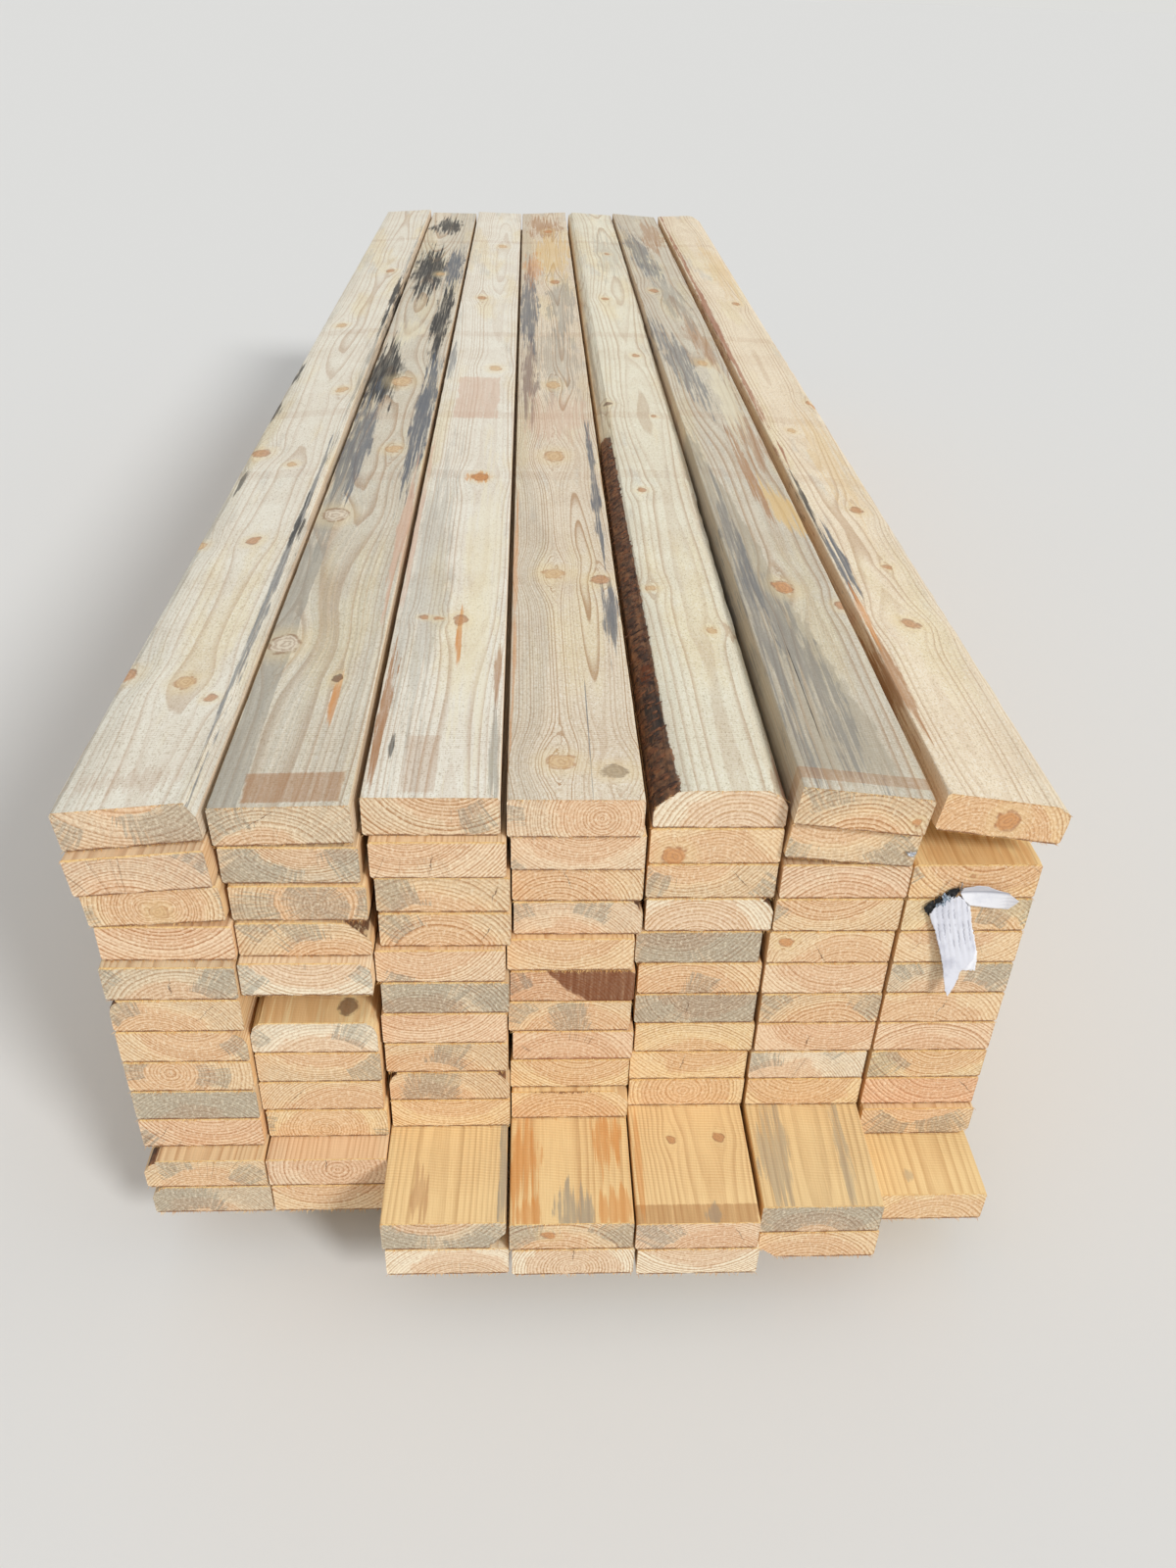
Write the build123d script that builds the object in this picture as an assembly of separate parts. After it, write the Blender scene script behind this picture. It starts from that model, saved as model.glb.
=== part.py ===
from build123d import *
import math
import os

# A stack of rough-sawn softwood boards on three bearers, with a stapled paper tag.
# Millimetres. X runs across the stack, Y along the boards, Z up. The end with the tag faces -Y.
# The origin is the middle of the middle bearer's underside.
# Courses are counted from the top, columns from the left, as seen from the tagged end.

# Sawn sizes
BOARD_WIDTH = 149.0
BOARD_THICKNESS = 49.7
BOARD_LENGTH = 3600.0
SEAT_GAP = 0.3            # between a board and what it lies on
SIDE_GAP = 3.6            # between two boards of a course
COURSES = 12

# Bearers
BEARER_WIDTH = 75.0
BEARER_HEIGHT = 75.0
BEARER_INSET = 4.0        # how far each bearer's end stays inside the outer boards
BEARER_OVERHANG = 600.0   # from an outer bearer's middle to the end of a board that lies centred

# How far the near ends stand out, left to right: the columns in general, and the courses that were
# pushed out at the bottom of the stack
COLUMN_STEP = [30, 17, 3, -16, -28, -27, -27]
PUSHED_COURSES = 2
PUSHED_STEP = [52, 52, 147, 150, 152, 131, 78]

# Single boards that stand out more or less than that, by course and column
OWN_STEP = {
    (1, 1): 16, (1, 2): 7, (1, 3): -13, (1, 4): -10, (1, 6): -11,
    (2, 2): 7, (2, 3): -2, (2, 6): -21, (2, 7): -120,
    (3, 1): 21, (3, 2): 10, (3, 3): -4, (3, 4): -23,
    (4, 1): 19, (4, 2): 13, (4, 3): -3, (4, 4): -23,
    (5, 2): 24,
    (6, 2): -180,
    (10, 4): -9,
    (11, 7): -19,
}

# How far the boards of the top two courses have spread sideways
SPREAD = {
    1: [-14, -11, -8, -5, 1, 3, 15],
    2: [-8, -7, -2, -1, 1, 1, 5],
}

# Boards further down that lie beside the middle of their column, in side gaps to the right
ASIDE = {
    (3, 1): -0.8, (3, 2): -0.5, (3, 3): 0.5, (3, 6): 0.5,
    (4, 1): 0.5, (4, 3): 0.8, (4, 4): 0.5, (4, 5): 0.5,
    (5, 2): -0.5, (5, 3): -1.1, (5, 4): -1.7, (5, 5): -2, (5, 6): -0.5,
    (6, 2): -0.5, (6, 4): -0.8, (6, 5): -0.5, (6, 6): -0.5,
    (7, 2): -0.8, (7, 3): -0.8, (7, 4): -1.4, (7, 5): -0.8,
    (8, 2): -0.5, (8, 3): -0.5,
    (9, 2): -0.8, (9, 4): -0.8, (9, 5): -1.1, (9, 6): -0.8,
    (10, 4): -0.5, (10, 5): -0.8, (10, 6): -0.5,
    (11, 1): 0.5, (11, 3): -0.8, (11, 4): -0.8, (11, 5): -1.1, (11, 6): -0.5, (11, 7): 0.5,
    (12, 1): 1.1, (12, 2): 0.5,
}

# Twisted boards: degrees that the right edge lies high, at the near end and at the far end
TILT = {
    (1, 1): (5.8, 4.3), (2, 1): (5.2, 3.2), (3, 1): (3.5, 1.5),
    (1, 2): (1.7, 0.0),
    (1, 3): (0.0, -1.0),
    (1, 4): (0.0, 3.4),
    (1, 5): (0.0, -2.6),
    (1, 6): (-6.7, -3.3), (2, 6): (-5.6, -2.5),
    (1, 7): (-8.3, 3.0),
}

# The hidden board under the right-hand top board, sawn from the log's outside, so that its near end
# falls away to the right under the tilted board
WEDGE = (2, 7)

# Wane, where a board reached the outside of its log: for each waney board, the corner of its near
# end (right or left, up or down, as 1 or -1), and the wane's width on the face and on the edge
WANE = {
    (1, 1): [(1, 1, 9, 19)],
    (1, 5): [(-1, 1, 28, 23), (1, 1, 20, 14)],
    (1, 7): [(1, 1, 16, 10)],
    (4, 2): [(1, 1, 26, 27)],
    (4, 4): [(1, 1, 10, 19)],
    (4, 5): [(1, 1, 13, 18)],
    (5, 2): [(1, 1, 12, 10)],
    (6, 1): [(-1, 1, 10, 11)],
    (7, 1): [(1, 1, 18, 13)],
    (7, 2): [(-1, 1, 11, 13), (1, 1, 11, 13)],
    (9, 3): [(-1, 1, 10, 13), (1, 1, 14, 20)],
    (10, 4): [(1, 1, 16, 21)],
    (11, 1): [(-1, 1, 17, 15)],
    (11, 3): [(1, -1, 20, 30)],
    (11, 7): [(1, -1, 11, 9)],
    (12, 1): [(-1, 1, 14, 14)],
    (12, 6): [(-1, -1, 24, 20)],
}
LOG_RADIUS = 150.0
LOG_GAIN = 14.0           # how much wider the log is at the far end
LOG_OVERRUN = 10.0        # how far the round log is drawn past both ends

# Paper tag, several sheets thick, and a torn bit of an older one
PAPER_THICKNESS = 1.0
FACE_GAP = 0.3            # between paper, staple and wood
LEAF_LENGTH = 157.0
LEAF_WIDTH = 52.0
LEAF_CURL = 850.0         # radius on which the hanging leaf curls out
SIDE_LEAF_LENGTH = 65.0
SIDE_LEAF_HEIGHT = 32.0
SIDE_LEAF_CURL = 160.0
SCRAP_WIDTH = 9.0
SCRAP_HEIGHT = 8.0

# Staples
STAPLE_WIRE = 1.4
STAPLE_CROWN = 12.7

# Where the staples are: the board, and the place to the right of and above its end's middle
TAG_BOARD = (3, 7)
TAG_RIGHT = -15.0
TAG_UP = -7.0
SCRAP_BOARD = (2, 6)
SCRAP_RIGHT = 67.0
SCRAP_UP = -3.0
SCRAP_TURN = 90.0         # the scrap's staple lies on its side, its crown level

COLUMNS = len(COLUMN_STEP)
COLUMN_PITCH = BOARD_WIDTH + SIDE_GAP
MIDDLE_COLUMN = (COLUMNS + 1) / 2
NEAR, FAR = 0, 1


def end_step(course, column):
    """How far a board's near end stands out."""
    steps = PUSHED_STEP if course > COURSES - PUSHED_COURSES else COLUMN_STEP
    return OWN_STEP.get((course, column), steps[column - 1])


def near_end(course, column):
    return -BOARD_LENGTH / 2 - end_step(course, column)


def middle_across(course, column):
    """How far to the right the middle of a board lies."""
    if course in SPREAD:
        own = SPREAD[course][column - 1]
    else:
        own = SIDE_GAP * ASIDE.get((course, column), 0)
    return (column - MIDDLE_COLUMN) * COLUMN_PITCH + own


def tilt_of(course, column, end):
    return TILT.get((course, column), (0, 0))[end]


def turned(point, degrees):
    """A point of a board's end after the end turns about its own middle."""
    angle = math.radians(degrees)
    right, up = point
    return (
        right * math.cos(angle) - up * math.sin(angle),
        right * math.sin(angle) + up * math.cos(angle),
    )


def section(course, column, end):
    """A board's end about its middle, clockwise from the top left corner."""
    half_width, half_thickness = BOARD_WIDTH / 2, BOARD_THICKNESS / 2
    fall = 0
    if (course, column) == WEDGE and end == NEAR:
        fall = BOARD_WIDTH * math.tan(math.radians(-tilt_of(course - 1, column, end)))
    corners = [
        (-half_width, half_thickness),
        (half_width, half_thickness - fall),
        (half_width, -half_thickness),
        (-half_width, -half_thickness),
    ]
    return [turned(corner, tilt_of(course, column, end)) for corner in corners]


def line_height(start, end, across):
    """The height of the line from start to end at a place across the stack."""
    share = (across - start[0]) / (end[0] - start[0])
    return start[1] + share * (end[1] - start[1])


def seated(corners, across, below):
    """A board's end when it comes down, this far across, on the top line of what lies below."""
    corners = [(across + right, up) for right, up in corners]
    bottom_right, bottom_left = corners[2:]
    places = (max(bottom_left[0], below[0][0]), min(bottom_right[0], below[1][0]))
    lift = SEAT_GAP + max(
        line_height(*below, place) - line_height(bottom_left, bottom_right, place) for place in places
    )
    return [(right, up + lift) for right, up in corners]


def seated_ends():
    """Both ends of every board, worked out column by column from the bearers up."""
    ends = {}
    reach = COLUMNS * COLUMN_PITCH
    for column in range(1, COLUMNS + 1):
        for end in (NEAR, FAR):
            below = [(-reach, BEARER_HEIGHT), (reach, BEARER_HEIGHT)]
            for course in range(COURSES, 0, -1):
                corners = section(course, column, end)
                ends[course, column, end] = seated(corners, middle_across(course, column), below)
                below = ends[course, column, end][:2]
    return ends


ENDS = seated_ends()


def middle_of_end(course, column):
    """The middle of a board's near end, between two opposite corners."""
    top_left, top_right, bottom_right, bottom_left = ENDS[course, column, NEAR]
    return (top_left[0] + bottom_right[0]) / 2, (top_left[1] + bottom_right[1]) / 2


def sawn_blank(course, column):
    """A board with four sharp edges; a twisted one is ruled from one tilted end to the other."""
    start = near_end(course, column)
    faces = []
    for end, along in ((NEAR, start), (FAR, start + BOARD_LENGTH)):
        corners = [(right, along, up) for right, up in ENDS[course, column, end]]
        faces.append(make_face(Polyline(*corners, close=True)))
    if ENDS[course, column, NEAR] == ENDS[course, column, FAR]:
        return extrude(faces[0], amount=BOARD_LENGTH, dir=(0, 1, 0))
    return loft(faces, ruled=True)


def log_round(side, height, on_face, on_edge):
    """The round log about a board's middle, whose bark meets the face and the edge at one corner."""
    chord = math.hypot(on_face, on_edge)
    depth = math.sqrt(LOG_RADIUS ** 2 - chord ** 2 / 4)
    right = side * (BOARD_WIDTH / 2 - on_face / 2 - depth * on_edge / chord)
    up = height * (BOARD_THICKNESS / 2 - on_edge / 2 - depth * on_face / chord)
    overrun_gain = LOG_GAIN * LOG_OVERRUN / BOARD_LENGTH
    log = Cone(
        LOG_RADIUS - overrun_gain,
        LOG_RADIUS + LOG_GAIN + overrun_gain,
        BOARD_LENGTH + 2 * LOG_OVERRUN,
    )
    return Pos(right, 0, up) * Rot(-90, 0, 0) * log


def board(course, column):
    """One sawn board in its place in the stack."""
    shape = sawn_blank(course, column)
    across, height = middle_of_end(course, column)
    along = near_end(course, column) + BOARD_LENGTH / 2
    place = Pos(across, along, height) * Rot(0, -tilt_of(course, column, NEAR), 0)
    for corner in WANE.get((course, column), []):
        shape = shape & (place * log_round(*corner))
    return shape


def course_of_boards(course):
    return Compound(children=[board(course, column).solid() for column in range(1, COLUMNS + 1)])


def bearer(place):
    """One square bearer across the stack; place is -1, 0 or 1 from the near end."""
    length = COLUMNS * COLUMN_PITCH - SIDE_GAP - 2 * BEARER_INSET
    spacing = BOARD_LENGTH / 2 - BEARER_OVERHANG
    base = (Align.CENTER, Align.CENTER, Align.MIN)
    return Pos(0, place * spacing, 0) * Box(length, BEARER_WIDTH, BEARER_HEIGHT, align=base)


def on_end(course, column, right, up):
    """A place on a board's near end, right of and above the end's middle."""
    across, height = middle_of_end(course, column)
    right, up = turned((right, up), tilt_of(course, column, NEAR))
    return Pos(across + right, near_end(course, column), height + up)


def staple_legs(clearance):
    """Both legs of a staple, one above the other, from the wood out to the crown."""
    thick = STAPLE_WIRE + 2 * clearance
    length = FACE_GAP + PAPER_THICKNESS + STAPLE_WIRE
    middle = -FACE_GAP - length / 2
    half_crown = (STAPLE_CROWN - STAPLE_WIRE) / 2
    return [Pos(0, middle, up) * Box(thick, length, thick) for up in (-half_crown, half_crown)]


def staple():
    """A wire staple with its crown upright over the paper."""
    stand_off = 2 * FACE_GAP + PAPER_THICKNESS
    crown = Pos(0, -stand_off - STAPLE_WIRE / 2, 0) * Box(STAPLE_WIRE, STAPLE_WIRE, STAPLE_CROWN)
    return crown + staple_legs(0)


def paper(points, curl):
    """A sheet cut to these points (right, up), that lies off the wood where it is stapled."""
    outline = make_face(Polyline(*[(right, 0, up) for right, up in points], close=True))
    furthest_out = LEAF_LENGTH    # no sheet curls out further than the longest one is long
    cutter = extrude(outline, amount=furthest_out, dir=(0, -1, 0))
    return Pos(0, -FACE_GAP, 0) * (cutter & curl)


def curl_down():
    """A wide sheet that leaves the wood as it goes down."""
    roll = Cylinder(LEAF_CURL, 2 * LEAF_LENGTH) - Cylinder(LEAF_CURL - PAPER_THICKNESS, 2 * LEAF_LENGTH)
    return Pos(0, -LEAF_CURL, 0) * Rot(0, 90, 0) * roll


def curl_aside():
    """A wide sheet that leaves the wood as it goes to the right."""
    tall = 2 * LEAF_LENGTH
    roll = Cylinder(SIDE_LEAF_CURL, tall) - Cylinder(SIDE_LEAF_CURL - PAPER_THICKNESS, tall)
    return Pos(0, -SIDE_LEAF_CURL, 0) * roll


def hanging_leaf():
    """The long torn leaf that hangs from the staple."""
    return paper(
        [
            (-LEAF_WIDTH * 0.26, -LEAF_LENGTH * 0.04),
            (LEAF_WIDTH * 0.06, -LEAF_LENGTH * 0.01),
            (LEAF_WIDTH * 0.12, -LEAF_LENGTH * 0.10),
            (LEAF_WIDTH * 0.35, -LEAF_LENGTH * 0.27),
            (LEAF_WIDTH * 0.76, -LEAF_LENGTH * 0.67),
            (LEAF_WIDTH * 0.77, -LEAF_LENGTH * 0.78),
            (LEAF_WIDTH * 0.38, -LEAF_LENGTH * 0.78),
            (LEAF_WIDTH * 0.37, -LEAF_LENGTH * 0.84),
            (LEAF_WIDTH * 0.20, -LEAF_LENGTH),
            (LEAF_WIDTH * 0.10, -LEAF_LENGTH * 0.95),
            (-LEAF_WIDTH * 0.05, -LEAF_LENGTH * 0.73),
            (-LEAF_WIDTH * 0.28, -LEAF_LENGTH * 0.49),
            (-LEAF_WIDTH * 0.60, -LEAF_LENGTH * 0.25),
            (-LEAF_WIDTH * 0.73, -LEAF_LENGTH * 0.20),
        ],
        curl_down(),
    )


def side_leaf():
    """The short folded leaf that points to the right."""
    return paper(
        [
            (0, -SIDE_LEAF_HEIGHT * 0.12),
            (SIDE_LEAF_LENGTH * 0.23, SIDE_LEAF_HEIGHT * 0.22),
            (SIDE_LEAF_LENGTH * 0.43, SIDE_LEAF_HEIGHT * 0.22),
            (SIDE_LEAF_LENGTH * 0.55, SIDE_LEAF_HEIGHT * 0.06),
            (SIDE_LEAF_LENGTH * 0.82, -SIDE_LEAF_HEIGHT * 0.07),
            (SIDE_LEAF_LENGTH, -SIDE_LEAF_HEIGHT * 0.22),
            (SIDE_LEAF_LENGTH * 0.85, -SIDE_LEAF_HEIGHT * 0.72),
            (SIDE_LEAF_LENGTH * 0.28, -SIDE_LEAF_HEIGHT * 0.78),
            (SIDE_LEAF_LENGTH * 0.12, -SIDE_LEAF_HEIGHT * 0.68),
        ],
        curl_aside(),
    )


def paper_tag():
    """Both leaves of the tag, clear of every board end that they hang in front of."""
    course, column = TAG_BOARD
    last = course + math.ceil(LEAF_LENGTH / BOARD_THICKNESS)
    furthest = min(near_end(behind, column) for behind in range(course, last + 1))
    out = furthest - near_end(course, column)
    leaves = hanging_leaf() + side_leaf() - staple_legs(FACE_GAP)
    return Pos(0, out, 0) * on_end(course, column, TAG_RIGHT, TAG_UP) * leaves


def torn_scrap():
    """What is left of an older tag, behind its staple's level crown and hanging below it."""
    scrap = paper(
        [
            (-SCRAP_WIDTH / 2, SCRAP_HEIGHT * 0.15),
            (SCRAP_WIDTH / 2, SCRAP_HEIGHT * 0.30),
            (SCRAP_WIDTH * 0.45, -SCRAP_HEIGHT * 0.20),
            (SCRAP_WIDTH * 0.10, -SCRAP_HEIGHT * 0.70),
            (-SCRAP_WIDTH / 2, -SCRAP_HEIGHT * 0.35),
        ],
        curl_aside(),
    )
    legs = [Rot(0, SCRAP_TURN, 0) * leg for leg in staple_legs(FACE_GAP)]
    return on_end(*SCRAP_BOARD, SCRAP_RIGHT, SCRAP_UP) * (scrap - legs)


parts = {}
for column in range(1, COLUMNS + 1):
    parts[f"top_board_{column}"] = board(1, column)
for course in range(2, COURSES + 1):
    parts[f"course_{course:02d}_boards"] = course_of_boards(course)
for name, place in (("front_bearer", -1), ("middle_bearer", 0), ("back_bearer", 1)):
    parts[name] = bearer(place)
parts["paper_tag"] = paper_tag()
parts["tag_staple"] = on_end(*TAG_BOARD, TAG_RIGHT, TAG_UP) * staple()
parts["torn_scrap"] = torn_scrap()
parts["scrap_staple"] = on_end(*SCRAP_BOARD, SCRAP_RIGHT, SCRAP_UP) * Rot(0, SCRAP_TURN, 0) * staple()

os.makedirs("parts", exist_ok=True)
for name, shape in parts.items():
    export_step(shape, f"parts/{name}.step")
    box = shape.bounding_box()
    print(f"{name}: {len(shape.solids())} solids, {shape.volume / 1e6:.2f} litres,"
          f" z {box.min.Z:.1f} to {box.max.Z:.1f}")
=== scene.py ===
# %% [markdown]
# # A stack of rough-sawn boards
# Seven columns of softwood boards lie twelve high on three bearers. Each board was sawn from a round
# log, so its growth rings run through it as nested cones. That one fact drives the looks here: the
# arcs on a board's end and the flames on its face are the same rings, cut two ways. The script
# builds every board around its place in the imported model, and paints it from the log outwards.

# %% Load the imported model
import math
import random

import bmesh
import bpy
import numpy as np
from mathutils import Matrix, Vector, noise
from mathutils.bvhtree import BVHTree


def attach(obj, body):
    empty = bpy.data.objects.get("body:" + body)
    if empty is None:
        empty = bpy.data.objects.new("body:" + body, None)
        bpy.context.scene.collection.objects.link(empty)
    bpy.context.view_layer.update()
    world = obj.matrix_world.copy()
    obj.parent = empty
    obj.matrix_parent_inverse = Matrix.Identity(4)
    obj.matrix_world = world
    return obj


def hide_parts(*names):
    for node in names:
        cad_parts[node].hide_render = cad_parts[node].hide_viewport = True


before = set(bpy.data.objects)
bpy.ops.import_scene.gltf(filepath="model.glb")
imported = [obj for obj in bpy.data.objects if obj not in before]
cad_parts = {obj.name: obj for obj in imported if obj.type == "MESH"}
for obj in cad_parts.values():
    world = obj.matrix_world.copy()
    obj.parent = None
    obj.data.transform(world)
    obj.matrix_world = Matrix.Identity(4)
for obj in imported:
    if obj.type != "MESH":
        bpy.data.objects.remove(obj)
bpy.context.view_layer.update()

scene = bpy.context.scene
scene.view_settings.view_transform = "Standard"

# %% [markdown]
# ## Camera
# The photograph was taken by hand from just before the tagged end, at chest height, looking down
# along the boards. A wide lens makes the long boards run together. The camera is set up as a
# person would hold it: a place, then how far it looks down, aside, and how far it is rolled.

# %% Camera
CAMERA_PLACE = Vector((-0.0572, -2.848, 1.412))
LOOK_DOWN = math.radians(34.06)
LOOK_ASIDE = math.radians(3.44)
ROLL = math.radians(2.11)
FRAME_HEIGHT = 1600
FOCAL_PIXELS = 1238.5
SENSOR = 36.0

ahead = Vector((
    math.sin(LOOK_ASIDE) * math.cos(LOOK_DOWN),
    math.cos(LOOK_ASIDE) * math.cos(LOOK_DOWN),
    -math.sin(LOOK_DOWN),
))
level = Vector((math.cos(LOOK_ASIDE), -math.sin(LOOK_ASIDE), 0))
upright = level.cross(ahead)
right = math.cos(ROLL) * level + math.sin(ROLL) * upright
up = -math.sin(ROLL) * level + math.cos(ROLL) * upright

camera_data = bpy.data.cameras.new("camera")
camera_data.sensor_fit = "VERTICAL"
camera_data.sensor_height = SENSOR
camera_data.lens = SENSOR * FOCAL_PIXELS / FRAME_HEIGHT
camera_data.clip_end = 400
camera = bpy.data.objects.new("camera", camera_data)
turn = Matrix((right, up, -ahead)).transposed().to_4x4()
camera.matrix_world = Matrix.Translation(CAMERA_PLACE) @ turn
scene.collection.objects.link(camera)
scene.camera = camera
print("lens", round(camera_data.lens, 1), "mm")

# %% [markdown]
# ## Words for building materials
# A node material is a small program. These helpers add a node and set or link its inputs in one
# line, so that the recipes further down read like sums. A colour is written as it looks on a
# screen, and turned into the linear values that a renderer works with.


# %% Helpers for node trees
def shade(red, green, blue):
    """A screen colour from 0 to 255 as a linear colour."""
    linear = [(c / 255 / 12.92) if c < 10 else ((c / 255 + 0.055) / 1.055) ** 2.4 for c in (red, green, blue)]
    return (*linear, 1.0)


class Recipe:
    """Adds nodes to one node tree and links them."""

    def __init__(self, tree):
        self.tree = tree

    def node(self, kind, inputs, **settings):
        made = self.tree.nodes.new(kind)
        for key, value in settings.items():
            setattr(made, key, value)
        for key, value in inputs.items():
            if isinstance(value, bpy.types.NodeSocket):
                self.tree.links.new(value, made.inputs[key])
            else:
                made.inputs[key].default_value = value
        return made

    def calc(self, operation, *values):
        inputs = dict(enumerate(values))
        return self.node("ShaderNodeMath", inputs, operation=operation).outputs[0]

    def vector(self, operation, *values):
        inputs = dict(enumerate(values))
        made = self.node("ShaderNodeVectorMath", inputs, operation=operation)
        return made.outputs["Value" if operation in ("LENGTH", "DOT_PRODUCT", "DISTANCE") else "Vector"]

    def join(self, x, y, z):
        return self.node("ShaderNodeCombineXYZ", {0: x, 1: y, 2: z}).outputs[0]

    def split(self, value):
        return self.node("ShaderNodeSeparateXYZ", {0: value}).outputs

    def mix(self, share, under, over, blend="MIX"):
        made = self.node("ShaderNodeMix", {0: share, 6: under, 7: over}, data_type="RGBA", blend_type=blend)
        return made.outputs[2]

    def fade(self, value, low, high, start=0.0, end=1.0):
        inputs = {0: value, 1: low, 2: high, 3: start, 4: end}
        return self.node("ShaderNodeMapRange", inputs, interpolation_type="SMOOTHSTEP").outputs[0]

    def noise(self, place, scale=1.0, detail=2.0, rough=0.5, out="Fac"):
        inputs = {"Vector": place, "Scale": scale, "Detail": detail, "Roughness": rough}
        made = self.node("ShaderNodeTexNoise", inputs)
        return made.outputs[0 if out == "Fac" else 1]

    def scatter(self, place, scale, detail=2.0):
        """A soft random vector about zero."""
        return self.vector("SUBTRACT", self.noise(place, scale, detail, out="Color"), (0.5, 0.5, 0.5))

    def attribute(self, name):
        return self.node("ShaderNodeAttribute", {}, attribute_name=name).outputs["Vector"]

    def group(self, tree, inputs):
        return self.node("ShaderNodeGroup", inputs, node_tree=tree).outputs


def recipe_group(name, inputs, outputs):
    """An empty shader node group with its named inputs and outputs."""
    tree = bpy.data.node_groups.new(name, "ShaderNodeTree")
    for label, kind in inputs:
        tree.interface.new_socket(label, in_out="INPUT", socket_type="NodeSocket" + kind)
    for label, kind in outputs:
        tree.interface.new_socket(label, in_out="OUTPUT", socket_type="NodeSocket" + kind)
    entry = tree.nodes.new("NodeGroupInput").outputs
    leave = tree.nodes.new("NodeGroupOutput").inputs
    return tree, Recipe(tree), entry, leave


def send(tree, value, socket):
    tree.links.new(value, socket)


print("helpers ready")

# %% [markdown]
# ## Growth rings
# A ring is a surface at one distance from the pith, the log's thin centre line. The group measures
# that distance at every point of the board, so ends, faces and edges all show the same rings. The
# pith wanders a little and the log tapers, which is what draws flames and ovals on a sawn face.
# Within one year the wood darkens slowly to the late wood, and then starts pale again.

# %% Growth rings
rings_tree, make, entry, leave = recipe_group(
    "growth rings",
    [("Place", "Vector"), ("Pith", "Vector"), ("Ring Width", "Float"), ("Seed", "Float")],
    [("Ring", "Float"), ("Radius", "Float"), ("Fibre", "Float"), ("Check", "Float"), ("Ray", "Float"),
     ("From Pith", "Vector"), ("Bold", "Float")],
)
LOG_TAPER = 0.0045        # metres that the radius gains in each metre
x, y, z = make.split(entry["Place"])
seed_spot = make.join(entry["Seed"], make.calc("MULTIPLY", y, 0.9), make.calc("MULTIPLY", entry["Seed"], 1.7))
wander = make.vector("MULTIPLY", make.scatter(seed_spot, 1.0, 1.0), (0.06, 0.0, 0.05))
squeezed = make.vector("MULTIPLY", entry["Place"], (1.0, 0.06, 1.0))
shifted = make.vector("ADD", squeezed, make.join(entry["Seed"], 0.0, 0.0))
ripple = make.vector("MULTIPLY", make.scatter(shifted, 26.0, 2.0), (0.0045, 0.0, 0.0045))
from_pith = make.vector("SUBTRACT", entry["Place"], entry["Pith"])
from_pith = make.vector("ADD", make.vector("ADD", from_pith, wander), ripple)
dx, dy, dz = make.split(from_pith)
flat_distance = make.vector("LENGTH", make.join(dx, 0.0, dz))
radius = make.calc("SUBTRACT", flat_distance, make.calc("MULTIPLY", y, LOG_TAPER))
years = make.calc("DIVIDE", radius, entry["Ring Width"])
seasons = make.noise(make.join(radius, entry["Seed"], 0.0), 55.0, 1.0)
years = make.calc("ADD", years, make.calc("MULTIPLY", seasons, 2.2))
part_of_year = make.calc("FRACT", years)
late = make.calc("MULTIPLY", make.fade(part_of_year, 0.25, 0.88), make.fade(part_of_year, 0.9, 1.0, 1.0, 0.0))
year_number = make.calc("ADD", make.calc("FLOOR", years), make.calc("MULTIPLY", entry["Seed"], 31.0))
good_year = make.node("ShaderNodeTexWhiteNoise", {"W": year_number}, noise_dimensions="1D").outputs[0]
send(rings_tree, make.calc("MULTIPLY", late, make.fade(good_year, 0.0, 1.0, 0.5, 1.0)), leave["Ring"])
send(rings_tree, radius, leave["Radius"])
send(rings_tree, make.join(dx, 0.0, dz), leave["From Pith"])
kind_of_tree = make.node("ShaderNodeTexWhiteNoise", {"W": entry["Seed"]}, noise_dimensions="1D").outputs[0]
send(rings_tree, make.fade(kind_of_tree, 0.0, 1.0, 0.7, 1.0), leave["Bold"])
strands = make.vector("MULTIPLY", entry["Place"], (1.0, 0.018, 1.0))
send(rings_tree, make.noise(strands, 1100.0, 3.0, 0.6), leave["Fibre"])
angle = make.calc("ARCTAN2", dx, dz)
spoke = make.noise(make.join(make.calc("MULTIPLY", angle, 2.6), entry["Seed"], 0.0), 2.2, 2.0, 0.7)
thin = make.fade(make.calc("ABSOLUTE", make.calc("SUBTRACT", spoke, 0.5)), 0.0, 0.006, 1.0, 0.0)
reach = make.noise(make.join(radius, entry["Seed"], 4.0), 16.0, 1.0)
send(rings_tree, make.calc("MULTIPLY", thin, make.fade(reach, 0.56, 0.62)), leave["Check"])
ray_spot = make.join(make.calc("MULTIPLY", angle, 30.0), make.calc("MULTIPLY", radius, 22.0), entry["Seed"])
send(rings_tree, make.noise(ray_spot, 1.0, 3.0, 0.7), leave["Ray"])
print("growth rings:", len(rings_tree.nodes), "nodes")

# %% [markdown]
# ## Knots
# A knot is a branch, sawn through. It shows as a darker oval with its own small rings, and the
# board's grain flows round it as water flows round a post. The group gives the oval, its dark
# outline, and how far it bends the place that the growth rings are read from.

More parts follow.
